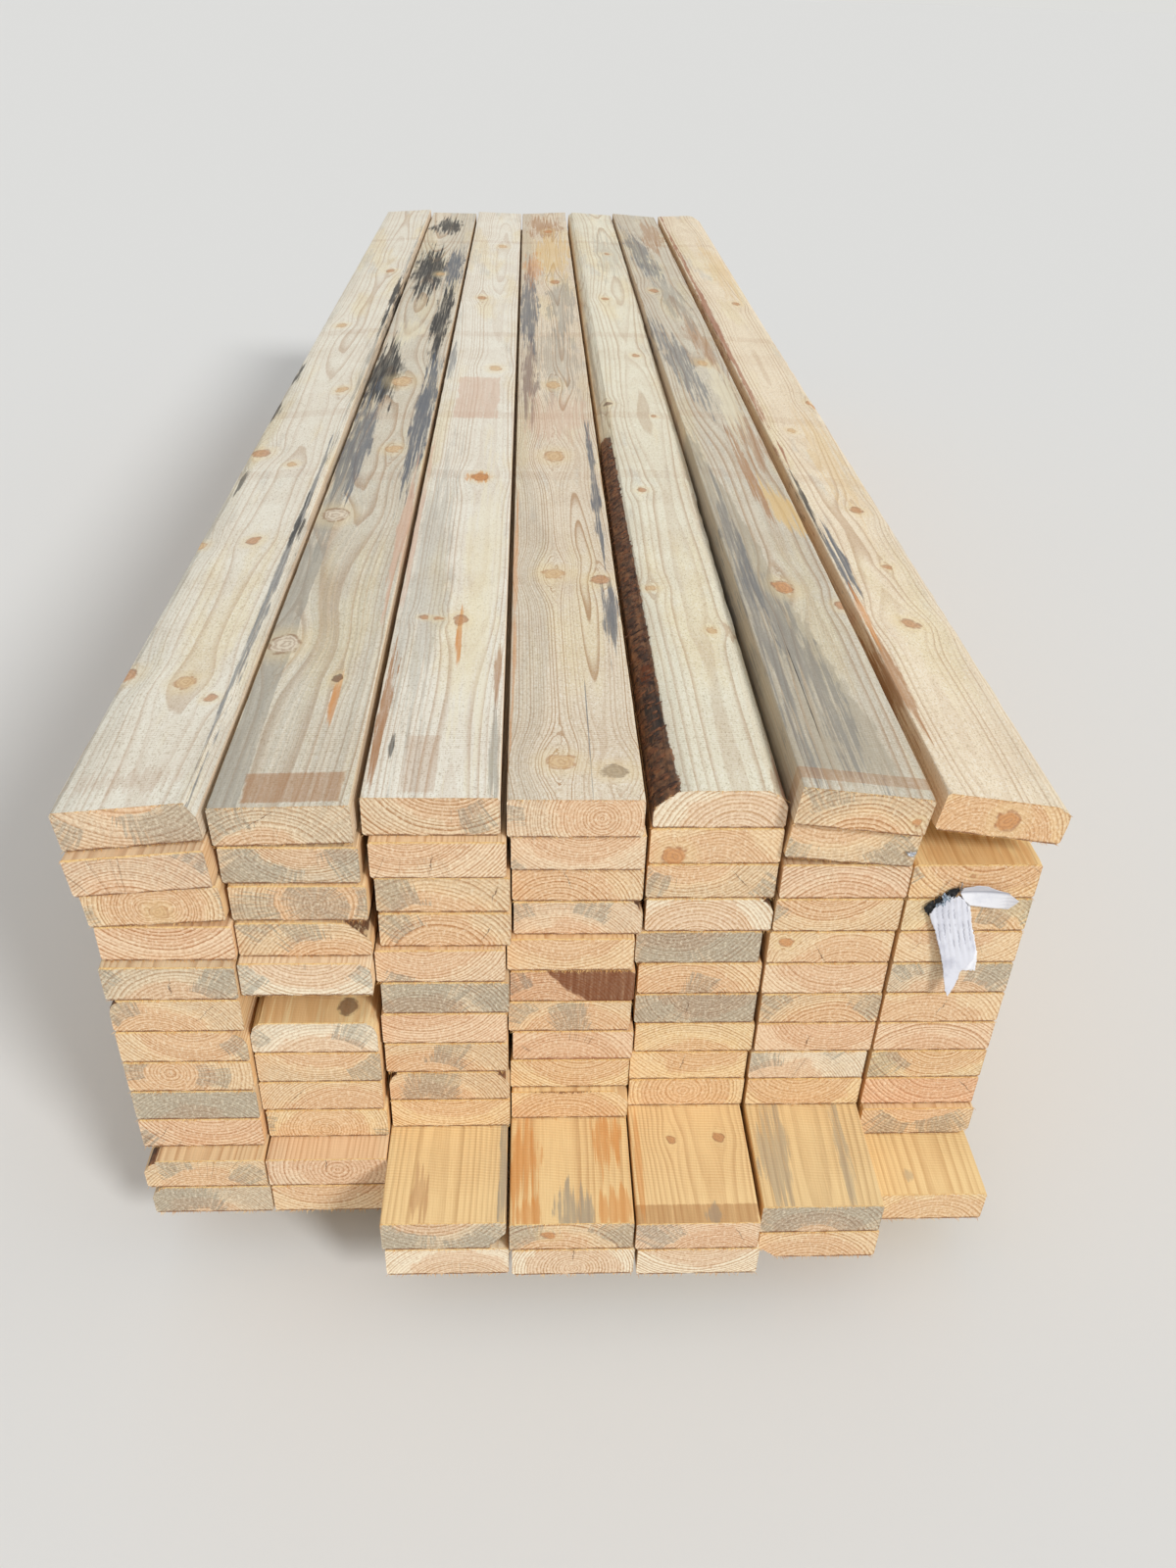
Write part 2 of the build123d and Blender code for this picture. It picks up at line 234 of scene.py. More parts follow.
# %% Knots
knot_tree, make, entry, leave = recipe_group(
    "knot",
    [("Place", "Vector"), ("Centre", "Vector"), ("Size", "Float"), ("Stretch", "Float")],
    [("Knot", "Float"), ("Outline", "Float"), ("Halo", "Float"), ("Bend", "Vector"), ("Rings", "Float")],
)
wobble = make.vector("MULTIPLY", make.scatter(entry["Place"], 60.0, 3.0), (0.014, 0.014, 0.0))
away = make.vector("SUBTRACT", make.vector("ADD", entry["Place"], wobble), entry["Centre"])
ax, ay, az = make.split(away)
ay = make.calc("DIVIDE", ay, entry["Stretch"])
distance = make.vector("LENGTH", make.join(ax, ay, 0.0))
sizes_off = make.calc("DIVIDE", distance, entry["Size"])
send(knot_tree, make.fade(sizes_off, 0.75, 1.0, 1.0, 0.0), leave["Knot"])
rim = make.calc("ABSOLUTE", make.calc("SUBTRACT", sizes_off, 0.95))
broken = make.fade(make.noise(entry["Place"], 85.0, 3.0, 0.6), 0.40, 0.56, 0.15, 1.0)
send(knot_tree, make.calc("MULTIPLY", make.fade(rim, 0.03, 0.22, 1.0, 0.0), broken), leave["Outline"])
send(knot_tree, make.fade(sizes_off, 1.0, 2.6, 1.0, 0.0), leave["Halo"])
calm = make.calc("POWER", 2.718, make.calc("MULTIPLY", make.calc("MULTIPLY", sizes_off, sizes_off), -0.07))
push = make.calc("MULTIPLY", make.calc("MULTIPLY", entry["Size"], 1.5), calm)
side = make.calc("DIVIDE", ax, make.calc("ADD", make.calc("ABSOLUTE", ax), 0.004))
send(knot_tree, make.join(make.calc("MULTIPLY", make.calc("MULTIPLY", side, push), -1.0), 0.0, 0.0), leave["Bend"])
crackle = make.calc("MULTIPLY", make.noise(entry["Place"], 130.0, 4.0, 0.7), 9.0)
wavelets = make.calc("SINE", make.calc("ADD", make.calc("MULTIPLY", sizes_off, 15.0), crackle))
send(knot_tree, make.fade(wavelets, -0.4, 0.9), leave["Rings"])
print("knot:", len(knot_tree.nodes), "nodes")

# %% [markdown]
# ## Smudges
# Mould, mud, resin and old bark mark a board in patches that are longer than wide. One group makes
# them all: a patch at a place on the board that frays out in streaks along the grain. It may lean
# over the grain, and a band where a board was covered is square and has a straight edge.

# %% Smudges
smudge_tree, make, entry, leave = recipe_group(
    "smudge",
    [("Place", "Vector"), ("Centre", "Vector"), ("Half Size", "Vector"), ("Broken", "Float"), ("Lean", "Float"),
     ("Square", "Float")],
    [("Mask", "Float")],
)
off_x, off_y, off_z = make.split(make.vector("SUBTRACT", entry["Place"], entry["Centre"]))
half_x, half_y, half_z = make.split(entry["Half Size"])
leant = make.calc("SUBTRACT", off_x, make.calc("MULTIPLY", off_y, entry["Lean"]))
flow = make.vector("ADD", make.vector("MULTIPLY", entry["Place"], (0.4, 0.14, 0.4)), entry["Centre"])
waver = make.calc("SUBTRACT", make.noise(flow, 60.0, 4.0, 0.65), 0.5)
threads = make.vector("ADD", make.vector("MULTIPLY", entry["Place"], (1.0, 0.02, 1.0)), entry["Centre"])
ragged = make.calc("SUBTRACT", make.noise(threads, 170.0, 4.0, 0.7), 0.5)
rounded = make.calc("SUBTRACT", 1.0, entry["Square"])
wavy = make.calc("MULTIPLY", waver, make.calc("ADD", 0.7, rounded))
sideways = make.calc("ADD", make.calc("DIVIDE", make.calc("ABSOLUTE", leant), half_x), wavy)
fringe = make.calc("MULTIPLY", ragged, make.calc("MULTIPLY", rounded, 3.2))
lengthways = make.calc("ADD", make.calc("DIVIDE", make.calc("ABSOLUTE", off_y), half_y), fringe)
in_box = make.calc("MAXIMUM", sideways, lengthways)
in_oval = make.vector("LENGTH", make.join(sideways, lengthways, 0.0))
from_edge = make.calc("SUBTRACT", 1.0, make.calc("ADD", in_box, make.calc("MULTIPLY", make.calc("SUBTRACT", in_oval, in_box), rounded)))
longways = make.vector("ADD", make.vector("MULTIPLY", entry["Place"], (1.0, 0.035, 1.0)), (3.0, 0.0, 0.0))
streaks = make.calc("SUBTRACT", make.noise(longways, 190.0, 4.0, 0.7), 0.5)
frayed = make.calc("MULTIPLY", streaks, make.calc("ADD", 0.4, make.calc("MULTIPLY", entry["Broken"], 2.0)))
solid = make.calc("MINIMUM", make.calc("MULTIPLY", from_edge, make.calc("ADD", 0.7, make.calc("MULTIPLY", entry["Square"], 2.0))), 0.4)
mask = make.calc("MULTIPLY", make.fade(make.calc("ADD", solid, frayed), 0.0, 0.3), make.fade(from_edge, 0.0, 0.12))
send(smudge_tree, make.calc("MULTIPLY", mask, make.fade(streaks, -0.2, 0.1, 0.72, 1.0)), leave["Mask"])
print("smudge:", len(smudge_tree.nodes), "nodes")

# %% [markdown]
# ## Sawn surfaces
# A frame saw leaves fine ridges across a board, and each ridge lifts a few fibres. The cross-cut
# ends are furred instead. This group gives both reliefs, and the blue-grey stain that a fungus
# leaves in sapwood: it starts at the log's outside, where the radius is large.

# %% Sawn surface and sapwood stain
surface_tree, make, entry, leave = recipe_group(
    "sawn surface",
    [("Place", "Vector"), ("Radius", "Float"), ("Seed", "Float"), ("Sapwood", "Float"), ("Ray", "Float")],
    [("Ridges", "Float"), ("Fur", "Float"), ("Stain", "Float"), ("Cloud", "Float"), ("Heart", "Float")],
)
x, y, z = make.split(entry["Place"])
drift = make.noise(make.vector("MULTIPLY", entry["Place"], (9.0, 1.2, 9.0)), 1.0, 2.0)
teeth = make.calc("ADD", make.calc("MULTIPLY", y, 1500.0), make.calc("MULTIPLY", drift, 22.0))
teeth = make.calc("ADD", teeth, make.calc("MULTIPLY", x, 120.0))
send(surface_tree, make.fade(make.calc("SINE", teeth), -1.0, 1.0), leave["Ridges"])
send(surface_tree, make.noise(entry["Place"], 900.0, 4.0, 0.7), leave["Fur"])
own_spot = make.vector("ADD", make.vector("MULTIPLY", entry["Place"], (1.0, 0.10, 1.0)), make.join(entry["Seed"], 0.0, 0.0))
cloud = make.noise(own_spot, 20.0, 4.0, 0.62)
send(surface_tree, cloud, leave["Cloud"])
depth = make.calc("ADD", entry["Radius"], make.calc("MULTIPLY", make.calc("SUBTRACT", cloud, 0.5), 0.06))
send(surface_tree, make.fade(depth, make.calc("SUBTRACT", entry["Sapwood"], 0.006), entry["Sapwood"], 1.0, 0.0), leave["Heart"])
stained = make.fade(depth, make.calc("SUBTRACT", entry["Sapwood"], 0.004), make.calc("ADD", entry["Sapwood"], 0.016))
send(surface_tree, make.calc("MULTIPLY", stained, make.fade(entry["Ray"], 0.35, 0.6, 0.45, 1.0)), leave["Stain"])
print("sawn surface:", len(surface_tree.nodes), "nodes")

# %% [markdown]
# ## Stained patches and drying cracks on the ends
# The stain's edge follows the wood: it stops sharply at a ring or a ray, and it breaks up into
# hatching along the rays. A drying crack is a thin dark line from near the pith outwards. Each
# board end carries two patch places and one crack place of its own, and these groups draw them.

# %% Patch and crack
patch_tree, make, entry, leave = recipe_group(
    "stained patch",
    [("Place", "Vector"), ("Patch", "Vector"), ("From Pith", "Vector"), ("Ray", "Float"), ("Cloud", "Float")],
    [("Mask", "Float")],
)
x, y, z = make.split(entry["Place"])
at_x, at_z, reach = make.split(entry["Patch"])
here_x, nothing, here_z = make.split(entry["From Pith"])
there_x = make.calc("ADD", here_x, make.calc("SUBTRACT", at_x, x))
there_z = make.calc("ADD", here_z, make.calc("SUBTRACT", at_z, z))
here = make.vector("LENGTH", make.join(here_x, 0.0, here_z))
there = make.vector("LENGTH", make.join(there_x, 0.0, there_z))
cross = make.calc("SUBTRACT", make.calc("MULTIPLY", here_x, there_z), make.calc("MULTIPLY", here_z, there_x))
along_ring = make.calc("DIVIDE", make.calc("ABSOLUTE", cross), make.calc("MAXIMUM", there, 0.01))
outward = make.calc("SUBTRACT", here, there)
rays_off = make.calc("MULTIPLY", make.calc("SUBTRACT", entry["Ray"], 0.5), 0.055)
clouds_off = make.calc("MULTIPLY", make.calc("SUBTRACT", entry["Cloud"], 0.5), 0.03)
to_side = make.calc("ADD", make.calc("SUBTRACT", make.calc("MULTIPLY", reach, 1.15), along_ring), rays_off)
to_heart = make.calc("ADD", make.calc("ADD", outward, make.calc("MULTIPLY", reach, 0.75)), clouds_off)
to_bark = make.calc("ADD", make.calc("SUBTRACT", make.calc("MULTIPLY", reach, 1.9), outward), clouds_off)
inside = make.calc("MINIMUM", make.calc("MULTIPLY", to_side, 0.5), make.calc("MINIMUM", to_heart, to_bark))
hatch = make.calc("MAXIMUM", make.fade(entry["Ray"], 0.40, 0.58, 0.45, 1.0), make.fade(inside, 0.003, 0.010, 0.0, 0.9))
mask = make.calc("MULTIPLY", make.fade(inside, 0.0, 0.0012), hatch)
send(patch_tree, make.calc("MULTIPLY", mask, make.fade(reach, 0.001, 0.004)), leave["Mask"])

crack_tree, make, entry, leave = recipe_group("drying crack", [("Place", "Vector"), ("Crack", "Vector")], [("Mask", "Float")])
x, y, z = make.split(entry["Place"])
at_x, at_z, lean = make.split(entry["Crack"])
dx = make.calc("SUBTRACT", x, at_x)
dz = make.calc("SUBTRACT", z, at_z)
wiggle = make.calc("MULTIPLY", make.calc("SUBTRACT", make.noise(entry["Place"], 90.0, 4.0, 0.75), 0.5), 0.012)
off = make.calc("ABSOLUTE", make.calc("ADD", make.calc("SUBTRACT", dx, make.calc("MULTIPLY", dz, lean)), wiggle))
ends = make.fade(make.calc("ABSOLUTE", dz), 0.002, 0.016, 0.0006, 0.0)
line = make.calc("LESS_THAN", off, ends)
send(crack_tree, make.calc("MULTIPLY", line, make.calc("GREATER_THAN", make.calc("ABSOLUTE", lean), 1e-5)), leave["Mask"])
print("patch and crack:", len(patch_tree.nodes) + len(crack_tree.nodes), "nodes")

# %% [markdown]
# ## The boards as they lie
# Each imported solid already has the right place, twist and wane. A ring of points is cast from the
# board's middle onto that solid at many stations along it, closer together near the corners and
# near the ends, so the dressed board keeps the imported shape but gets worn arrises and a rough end.
# Every point remembers where it lies in its own board, which is what the materials read.

# %% Boards: sections and stations
BOARD_WIDTH = 0.149
BOARD_THICKNESS = 0.0497
COLUMNS = 7
COURSES = 12
CORNER_STEPS = (0.0011, 0.0035, 0.009, 0.021, 0.044)
END_STEPS = (0.0, 0.0012, 0.004, 0.012, 0.03, 0.07, 0.14)
CAP_SHARES = (0.97, 0.8, 0.55, 0.28)


def loose_solids(node):
    """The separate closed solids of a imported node, from left to right."""
    mesh = bmesh.new()
    mesh.from_mesh(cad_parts[node].data)
    bmesh.ops.remove_doubles(mesh, verts=mesh.verts, dist=1e-6)
    mesh.verts.ensure_lookup_table()
    group = {}
    for start in mesh.verts:
        if start.index in group:
            continue
        waiting = [start]
        group[start.index] = start.index
        while waiting:
            here = waiting.pop()
            for edge in here.link_edges:
                other = edge.other_vert(here)
                if other.index not in group:
                    group[other.index] = start.index
                    waiting.append(other)
    solids = []
    for first in sorted(set(group.values())):
        own = [v for v in mesh.verts if group[v.index] == first]
        number = {v.index: i for i, v in enumerate(own)}
        faces = [[number[v.index] for v in f.verts] for f in mesh.faces if f.verts[0].index in number]
        solids.append(([v.co.copy() for v in own], faces))
    mesh.free()
    return sorted(solids, key=lambda solid: sum(p.x for p in solid[0]) / len(solid[0]))


def end_pose(points, y_end):
    """The middle and the tilt of a board's end, from its longest straight edge."""
    flat = sorted({(round(p.x, 6), round(p.z, 6)) for p in points if abs(p.y - y_end) < 2e-5})
    middle = (sum(p[0] for p in flat) / len(flat), sum(p[1] for p in flat) / len(flat))
    flat.sort(key=lambda p: math.atan2(p[1] - middle[1], p[0] - middle[0]))
    spans = [(math.dist(p, q), p, q) for p, q in zip(flat, flat[1:] + flat[:1])]
    length, p, q = max(spans)
    tilt = math.atan((q[1] - p[1]) / (q[0] - p[0]))
    turned = [(a * math.cos(tilt) + b * math.sin(tilt), b * math.cos(tilt) - a * math.sin(tilt)) for a, b in flat]
    a = (min(p[0] for p in turned) + max(p[0] for p in turned)) / 2
    b = (min(p[1] for p in turned) + max(p[1] for p in turned)) / 2
    return Vector((a * math.cos(tilt) - b * math.sin(tilt), y_end, a * math.sin(tilt) + b * math.cos(tilt))), tilt


def section_rim():
    """Points round a board's section, from the top left corner clockwise."""
    wide, thick = BOARD_WIDTH / 2, BOARD_THICKNESS / 2
    across = [-wide + s for s in CORNER_STEPS] + [0.0] + [wide - s for s in reversed(CORNER_STEPS)]
    upward = [thick - s for s in CORNER_STEPS[:4]] + [-thick + s for s in reversed(CORNER_STEPS[:4])]
    rim = [(a, thick) for a in across] + [(wide, b) for b in upward]
    return rim + [(-a, -thick) for a in across] + [(-wide, -b) for b in upward]


def stations(length, spacing):
    """Places along a board, measured from its near end, close together at both ends."""
    steps = [s for s in END_STEPS]
    count = max(2, round((length - 2 * END_STEPS[-1]) / spacing))
    inner = [END_STEPS[-1] + (length - 2 * END_STEPS[-1]) * i / count for i in range(1, count)]
    return steps + inner + [length - s for s in reversed(END_STEPS)]


print("rim of", len(section_rim()), "points,", len(stations(3.6, 0.3)), "stations on a plain board")

# %% [markdown]
# ## What each board looked like at the end
# Three small charts say what the photographed ends show, one row for each course from the top, one
# letter for each column. The first is the colour of the wood, the second is where the pith lies:
# above the board, below it or inside it. The third is how much blue-grey stain the sapwood has.

# %% Charts of the ends
TONES = [
    "pbbpwto", "kgppttt", "tttttko", "kttpwty", "gwptgtt", "ttgrtpb",
    "twktgtt", "tttkykk", "gttyywy", "kyyyyys", "tkgtkgt", "gtwwwty",
]
PITHS = [
    "uabiaaa", "abbbaba", "iiaabab", "baaaaba", "abbbbab", "aaaaaba",
    "babaBaa", "ibaaaba", "aaabbab", "bibaibb", "aibaaab", "abaibaa",
]
STAINS = [
    "2312131", "2301020", "1221210", "0222112", "2110310", "2030002",
    "1202320", "1220100", "3120022", "0100000", "2132132", "3000000",
]
TONE_COLOURS = {
    "p": shade(244, 218, 184), "b": shade(236, 216, 184), "w": shade(250, 240, 216),
    "t": shade(242, 213, 170), "o": shade(242, 204, 150), "k": shade(242, 211, 177),
    "g": shade(228, 210, 180), "y": shade(246, 220, 170), "r": shade(218, 176, 138),
    "s": shade(242, 196, 156),
}
PITH_HEIGHTS = {"a": -0.062, "b": 0.066, "B": 0.05, "u": 0.075, "i": -0.004}
HEART_RADII = {"a": 0.086, "b": 0.088, "B": 0.08, "u": 0.09, "i": 0.062}

# Stained patches on the near ends: millimetres across and up from the middle, and the reach
END_PATCHES = {
    (1, 1): [(50, -10, 42), (-66, 2, 17)], (2, 1): [(62, 13, 17)], (3, 1): [(-70, -8, 9)],
    (5, 1): [(-70, 2, 16), (52, -8, 22)], (6, 1): [(-60, 8, 17)], (7, 1): [(66, 6, 18)],
    (8, 1): [(-64, 12, 15)], (9, 1): [(-10, 0, 70), (60, 0, 40)], (10, 1): [(-70, -4, 13)],
    (11, 1): [(-38, 15, 18), (45, -10, 15)], (12, 1): [(-45, 4, 42)],
    (1, 2): [(-64, 4, 23)], (2, 2): [(-38, -14, 36), (58, 12, 18)], (3, 2): [(-38, -8, 20), (22, -8, 17)],
    (4, 2): [(-4, 8, 19), (-48, 12, 13)], (5, 2): [(-66, 4, 18), (62, 6, 12)], (7, 2): [(45, 2, 18), (-64, -6, 12)],
    (8, 2): [(60, -4, 22)], (10, 2): [(-70, 0, 10)],
    (1, 3): [(44, 4, 15)], (3, 3): [(-56, -8, 27)], (4, 3): [(-50, 6, 18)], (5, 3): [(-48, -20, 13)],
    (6, 3): [(-30, 2, 46), (58, -4, 32)], (8, 3): [(2, 2, 20)], (9, 3): [(-22, 2, 30)],
    (11, 3): [(-56, -12, 33), (44, -16, 32)],
    (1, 4): [(-64, 6, 11)], (2, 4): [(-70, -20, 12)], (4, 4): [(16, 12, 17), (-66, 6, 11)], (6, 4): [(-68, 0, 14)],
    (7, 4): [(-60, 8, 17), (2, -16, 20)], (11, 4): [(-62, 8, 30), (64, 2, 30)],
    (3, 5): [(-62, 2, 15), (62, -8, 13)], (5, 5): [(-34, 10, 46), (34, 10, 46)], (7, 5): [(36, 2, 54), (-40, 4, 26)],
    (6, 5): [(0, -22, 16)], (11, 5): [(-44, 0, 22)],
    (1, 6): [(-44, 16, 20)], (2, 6): [(46, -8, 23), (-62, -12, 15)], (4, 6): [(-68, 8, 10)],
    (7, 6): [(-62, 8, 21), (64, 2, 19)], (9, 6): [(-60, 6, 19), (30, 16, 10)], (11, 6): [(-34, 12, 44), (40, 12, 42)],
    (3, 7): [(-72, 10, 9)], (4, 7): [(36, -4, 18), (64, 4, 15)], (6, 7): [(52, 2, 25), (-50, 8, 12)],
    (9, 7): [(-48, 8, 20)], (11, 7): [(-34, -12, 24), (36, -12, 26)],
}
# Drying cracks on the near ends: across, up, and how far to the right they lean on the way up
END_CRACKS = {
    (5, 1): (0, -6, 0.05), (6, 1): (34, 4, 0.9), (9, 2): (-30, 0, 0.9), (11, 2): (-1, 16, 0.05), (2, 3): (-7, -4, 0.05),
    (3, 3): (57, 0, 0.25), (3, 4): (-12, 6, -0.4), (12, 4): (0, 14, 0.04), (3, 5): (33, 2, -0.8), (7, 5): (-10, 0, 0.04),
    (9, 5): (-8, 4, 0.2), (11, 5): (52, 0, -0.5), (5, 6): (-9, -12, -0.6), (8, 6): (-8, -8, 0.15), (7, 7): (0, -2, 0.4),
    (10, 7): (60, 6, -0.9), (1, 2): (-22, 8, 1.6), (10, 1): (-46, 0, 0.6), (4, 3): (46, -6, 0.5),
}


# How much bark is left on a board's wane, where that is more than a trace
BARK_LEFT = {
    (1, 1): 0.1, (1, 5): 1.0, (1, 7): 0.12, (4, 2): 0.6, (4, 4): 0.7, (4, 5): 0.7, (6, 1): 0.8, (9, 3): 0.8,
    (11, 1): 0.7,
}
# Where only a strip of bark is left at a board's left edge: its width at each place along, in metres
BARK_STRIPS = {
    (1, 5): [(0.027, 0.0), (0.017, 0.17), (0.016, 0.46), (0.010, 0.68), (0.006, 0.97), (0.002, 1.2), (-0.05, 1.3)],
}


def in_metres(values):
    return tuple(value / 1000 for value in values)


def board_facts(course, column):
    """Seed, tone, stain and pith of one board, the same in every run."""
    dice = random.Random(100 * course + column)
    pith_kind = PITHS[course - 1][column - 1]
    shift = dice.uniform(-0.028, 0.028)
    patches = END_PATCHES.get((course, column), []) + [(0, 0, 0), (0, 0, 0)]
    crack_x, crack_z, lean = END_CRACKS.get((course, column), (0, 0, 0))
    return {
        "patches": (in_metres(patches[0]), in_metres(patches[1])),
        "crack": (*in_metres((crack_x, crack_z)), lean),
        # Only the lower courses get the gold top edge on their ends, brightened as painted sunlight
        "arris": 0.0 if course == 1 else 1.0,
        "bark": BARK_LEFT.get((course, column), 0.25),
        "bark_strip": BARK_STRIPS.get((course, column)),
        "seed": dice.uniform(0.0, 40.0),
        "tone": TONE_COLOURS[TONES[course - 1][column - 1]],
        "stain": int(STAINS[course - 1][column - 1]) / 3,
        "pith": (shift, 0.0, PITH_HEIGHTS[pith_kind] + dice.uniform(-0.012, 0.012)),
        "ring": dice.uniform(0.0032, 0.0054),
        "heart": HEART_RADII[pith_kind] - 0.006 * int(STAINS[course - 1][column - 1]),
    }


print("84 boards charted, first:", board_facts(1, 1)["pith"])


# %% Build one board's points
POINT_FACTS = ("wood", "wane", "pith", "tone", "facts", "patch_a", "patch_b", "crack")


def write_layers(mesh, layers):
    """Stores what each point knows on the mesh, where the materials read it."""
    for label, values in layers.items():
        layer = mesh.attributes.new(label, "FLOAT_VECTOR", "POINT")
        layer.data.foreach_set("vector", np.array(values, dtype=np.float32).ravel())


def at_level(outline, level):
    """How far across an outline of (across, level) pairs is at one level."""
    for (u, v), (u_next, v_next) in zip(outline, outline[1:]):
        if v <= level <= v_next:
            return u + (u_next - u) * (level - v) / (v_next - v)
    return outline[-1][0]


class Dressing:
    """Collects the points and faces of several boards for one mesh."""

    def __init__(self):
        self.points, self.faces, self.slots = [], [], []
        self.layers = {name: [] for name in POINT_FACTS}

    def add_point(self, place, wood, wane, facts):
        self.points.append(place)
        self.layers["wood"].append(wood)
        self.layers["wane"].append((wane, facts["heart"], facts["arris"]))
        self.layers["pith"].append(facts["pith"])
        self.layers["tone"].append(facts["tone"][:3])
        self.layers["facts"].append((facts["seed"], facts["stain"], facts["ring"]))
        self.layers["patch_a"].append(facts["patches"][0])
        self.layers["patch_b"].append(facts["patches"][1])
        self.layers["crack"].append(facts["crack"])
        return len(self.points) - 1

    def add_board(self, solid, facts, spacing, face_slot, end_slot):
        corners, faces = solid
        tree = BVHTree.FromPolygons(corners, faces)
        y_near = min(p.y for p in corners)
        y_far = max(p.y for p in corners)
        length = y_far - y_near
        middle_near, tilt_near = end_pose(corners, y_near)
        middle_far, tilt_far = end_pose(corners, y_far)
        rim = section_rim()
        loops = []
        for along in stations(length, spacing):
            share = along / length
            middle = middle_near.lerp(middle_far, share)
            tilt = tilt_near + (tilt_far - tilt_near) * share
            inside = min(max(along, 2e-4), length - 2e-4)
            ring = []
            for i, (a, b) in enumerate(rim):
                ray = Vector((a * math.cos(tilt) - b * math.sin(tilt), 0, a * math.sin(tilt) + b * math.cos(tilt)))
                start = Vector((middle.x, y_near + inside, middle.z))
                hit = tree.ray_cast(start, ray.normalized())[0]
                reach = (hit - start).length if hit else ray.length
                missing = max(0.0, ray.length - reach)
                edge = abs(abs(a) - BOARD_WIDTH / 2) < 0.002 and abs(abs(b) - BOARD_THICKNESS / 2) < 0.002
                rough = noise.noise(Vector((a * 90 + facts["seed"], along * 45, b * 90)))
                torn = 0.0011 * math.exp(-along / 0.008)
                wear = (0.0006 + torn + (0.0007 + torn) * rough) if edge else 0.00018 * (1 + rough)
                if missing > 0.0008:
                    wear += 0.0012 + 0.0016 * noise.noise(Vector((a * 140, along * 60 + facts["seed"], b * 140)))
                scale = (reach - max(wear, 0.0)) / ray.length
                place = start + ray * scale
                place.y = y_near + along
                wane = min(1.0, missing / 0.0015) * facts["bark"]
                if facts["bark_strip"]:
                    to_bare = at_level(facts["bark_strip"], along) - (a + BOARD_WIDTH / 2)
                    wane = min(1.0, max(-1.0, 0.54 + to_bare / 0.03)) if a < 0 else 0.1 * min(1.0, missing / 0.0015)
                ring.append(self.add_point(place, (a * scale, along, b * scale), wane, facts))
            loops.append(ring)
        count = len(rim)
        for near, far in zip(loops, loops[1:]):
            for i in range(count):
                j = (i + 1) % count
                self.faces.append((near[i], near[j], far[j], far[i]))
                self.slots.append(face_slot)
        self.cap(loops[0], facts, 1, end_slot)
        self.cap(loops[-1], facts, -1, end_slot)

    def cap(self, ring, facts, inward, slot):
        """Closes an end with smaller and smaller rings, a little hollow and rough as a saw leaves it."""
        middle = sum((self.points[i] for i in ring), Vector()) / len(ring)
        own = self.layers["wood"]
        wood_middle = sum((Vector(own[i]) for i in ring), Vector()) / len(ring)
        outer = ring
        for share in CAP_SHARES:
            inner = []
            for i in ring:
                place = middle.lerp(self.points[i], share)
                wood = wood_middle.lerp(Vector(own[i]), share)
                sunk = 0.0004 + 0.0004 * noise.noise(Vector((wood.x * 120 + facts["seed"], wood.z * 120, 0)))
                place.y += inward * sunk
                inner.append(self.add_point(place, tuple(wood), 0.0, facts))
            self.stitch(outer, inner, inward, slot)
            outer = inner
        centre = self.add_point(middle, tuple(wood_middle), 0.0, facts)
        for i in range(len(outer)):
            j = (i + 1) % len(outer)
            self.faces.append((outer[j], outer[i], centre) if inward > 0 else (outer[i], outer[j], centre))
            self.slots.append(slot)

    def stitch(self, outer, inner, inward, slot):
        for i in range(len(outer)):
            j = (i + 1) % len(outer)
            face = (outer[i], outer[j], inner[j], inner[i])
            self.faces.append(face[::-1] if inward > 0 else face)
            self.slots.append(slot)

    def finish(self, name, materials):
        mesh = bpy.data.meshes.new(name)
        mesh.from_pydata(self.points, [], self.faces)
        write_layers(mesh, self.layers)
        for material in materials:
            mesh.materials.append(material)
        mesh.polygons.foreach_set("material_index", self.slots)
        mesh.validate()
        mesh.update()
        made = bpy.data.objects.new(name, mesh)
        scene.collection.objects.link(made)
        return made


print("board builder ready")

# %% [markdown]
# ## The wood materials
# All wood shares one recipe. It reads the board's own place and pith, lays the late wood over the
# early wood, then the fibres, then the blue stain. On an end it paints shade into the drying cracks
# and a shadow along the bottom edge, and on a lower board sunlight on the gold top edge; on a face it
# paints sunlight on the gold sides. Then come the bark where the wane is, and each smudge and knot
# that is named for that board. The relief comes from the same masks.

# %% Wood recipe
LATE_WOOD = shade(188, 140, 84)
HEART_WOOD = shade(226, 182, 142)
# The gold of fresh torn fibres on the top edge of a lower board's end, made brighter as painted sunlight
LIT_GOLDEN_ARRIS = shade(236, 186, 104)
# A painted shadow along the bottom edge of each end, in the seam under the board
SEAM_SHADOW = shade(112, 68, 36)
# The gold of the boards' sawn sides, made brighter as painted sunlight and bounce light in the gaps
SUNLIT_SIDE_GOLD = shade(232, 176, 104)
# Painted shade inside the drying cracks on the ends
CRACK_SHADE = shade(96, 62, 40)
STAIN_GREY = shade(120, 127, 122)
OLD_LATE_WOOD = shade(176, 134, 90)
WEATHERED_YELLOW = shade(240, 226, 186)
WEATHERED_GREY = shade(204, 202, 192)
FUR_PALE = shade(252, 250, 240)
FUR_DARK = shade(168, 150, 122)
FRESH_GOLD = shade(240, 208, 148)
SHOWN_GOLD = shade(250, 222, 164)
HALO_PALE = shade(236, 212, 160)
SMUDGE_COLOURS = {
    "grey": shade(150, 146, 136), "black": shade(48, 46, 46), "brown": shade(166, 112, 62),
    "orange": shade(212, 140, 66), "pink": shade(212, 172, 146), "purple": shade(134, 110, 100),
    "yellow": shade(226, 190, 124), "resin": shade(112, 58, 28), "red": shade(156, 92, 60),
    "pale": shade(238, 230, 208), "slate": shade(92, 98, 108), "cream": shade(240, 230, 198),
    "warm": shade(166, 156, 136),
}
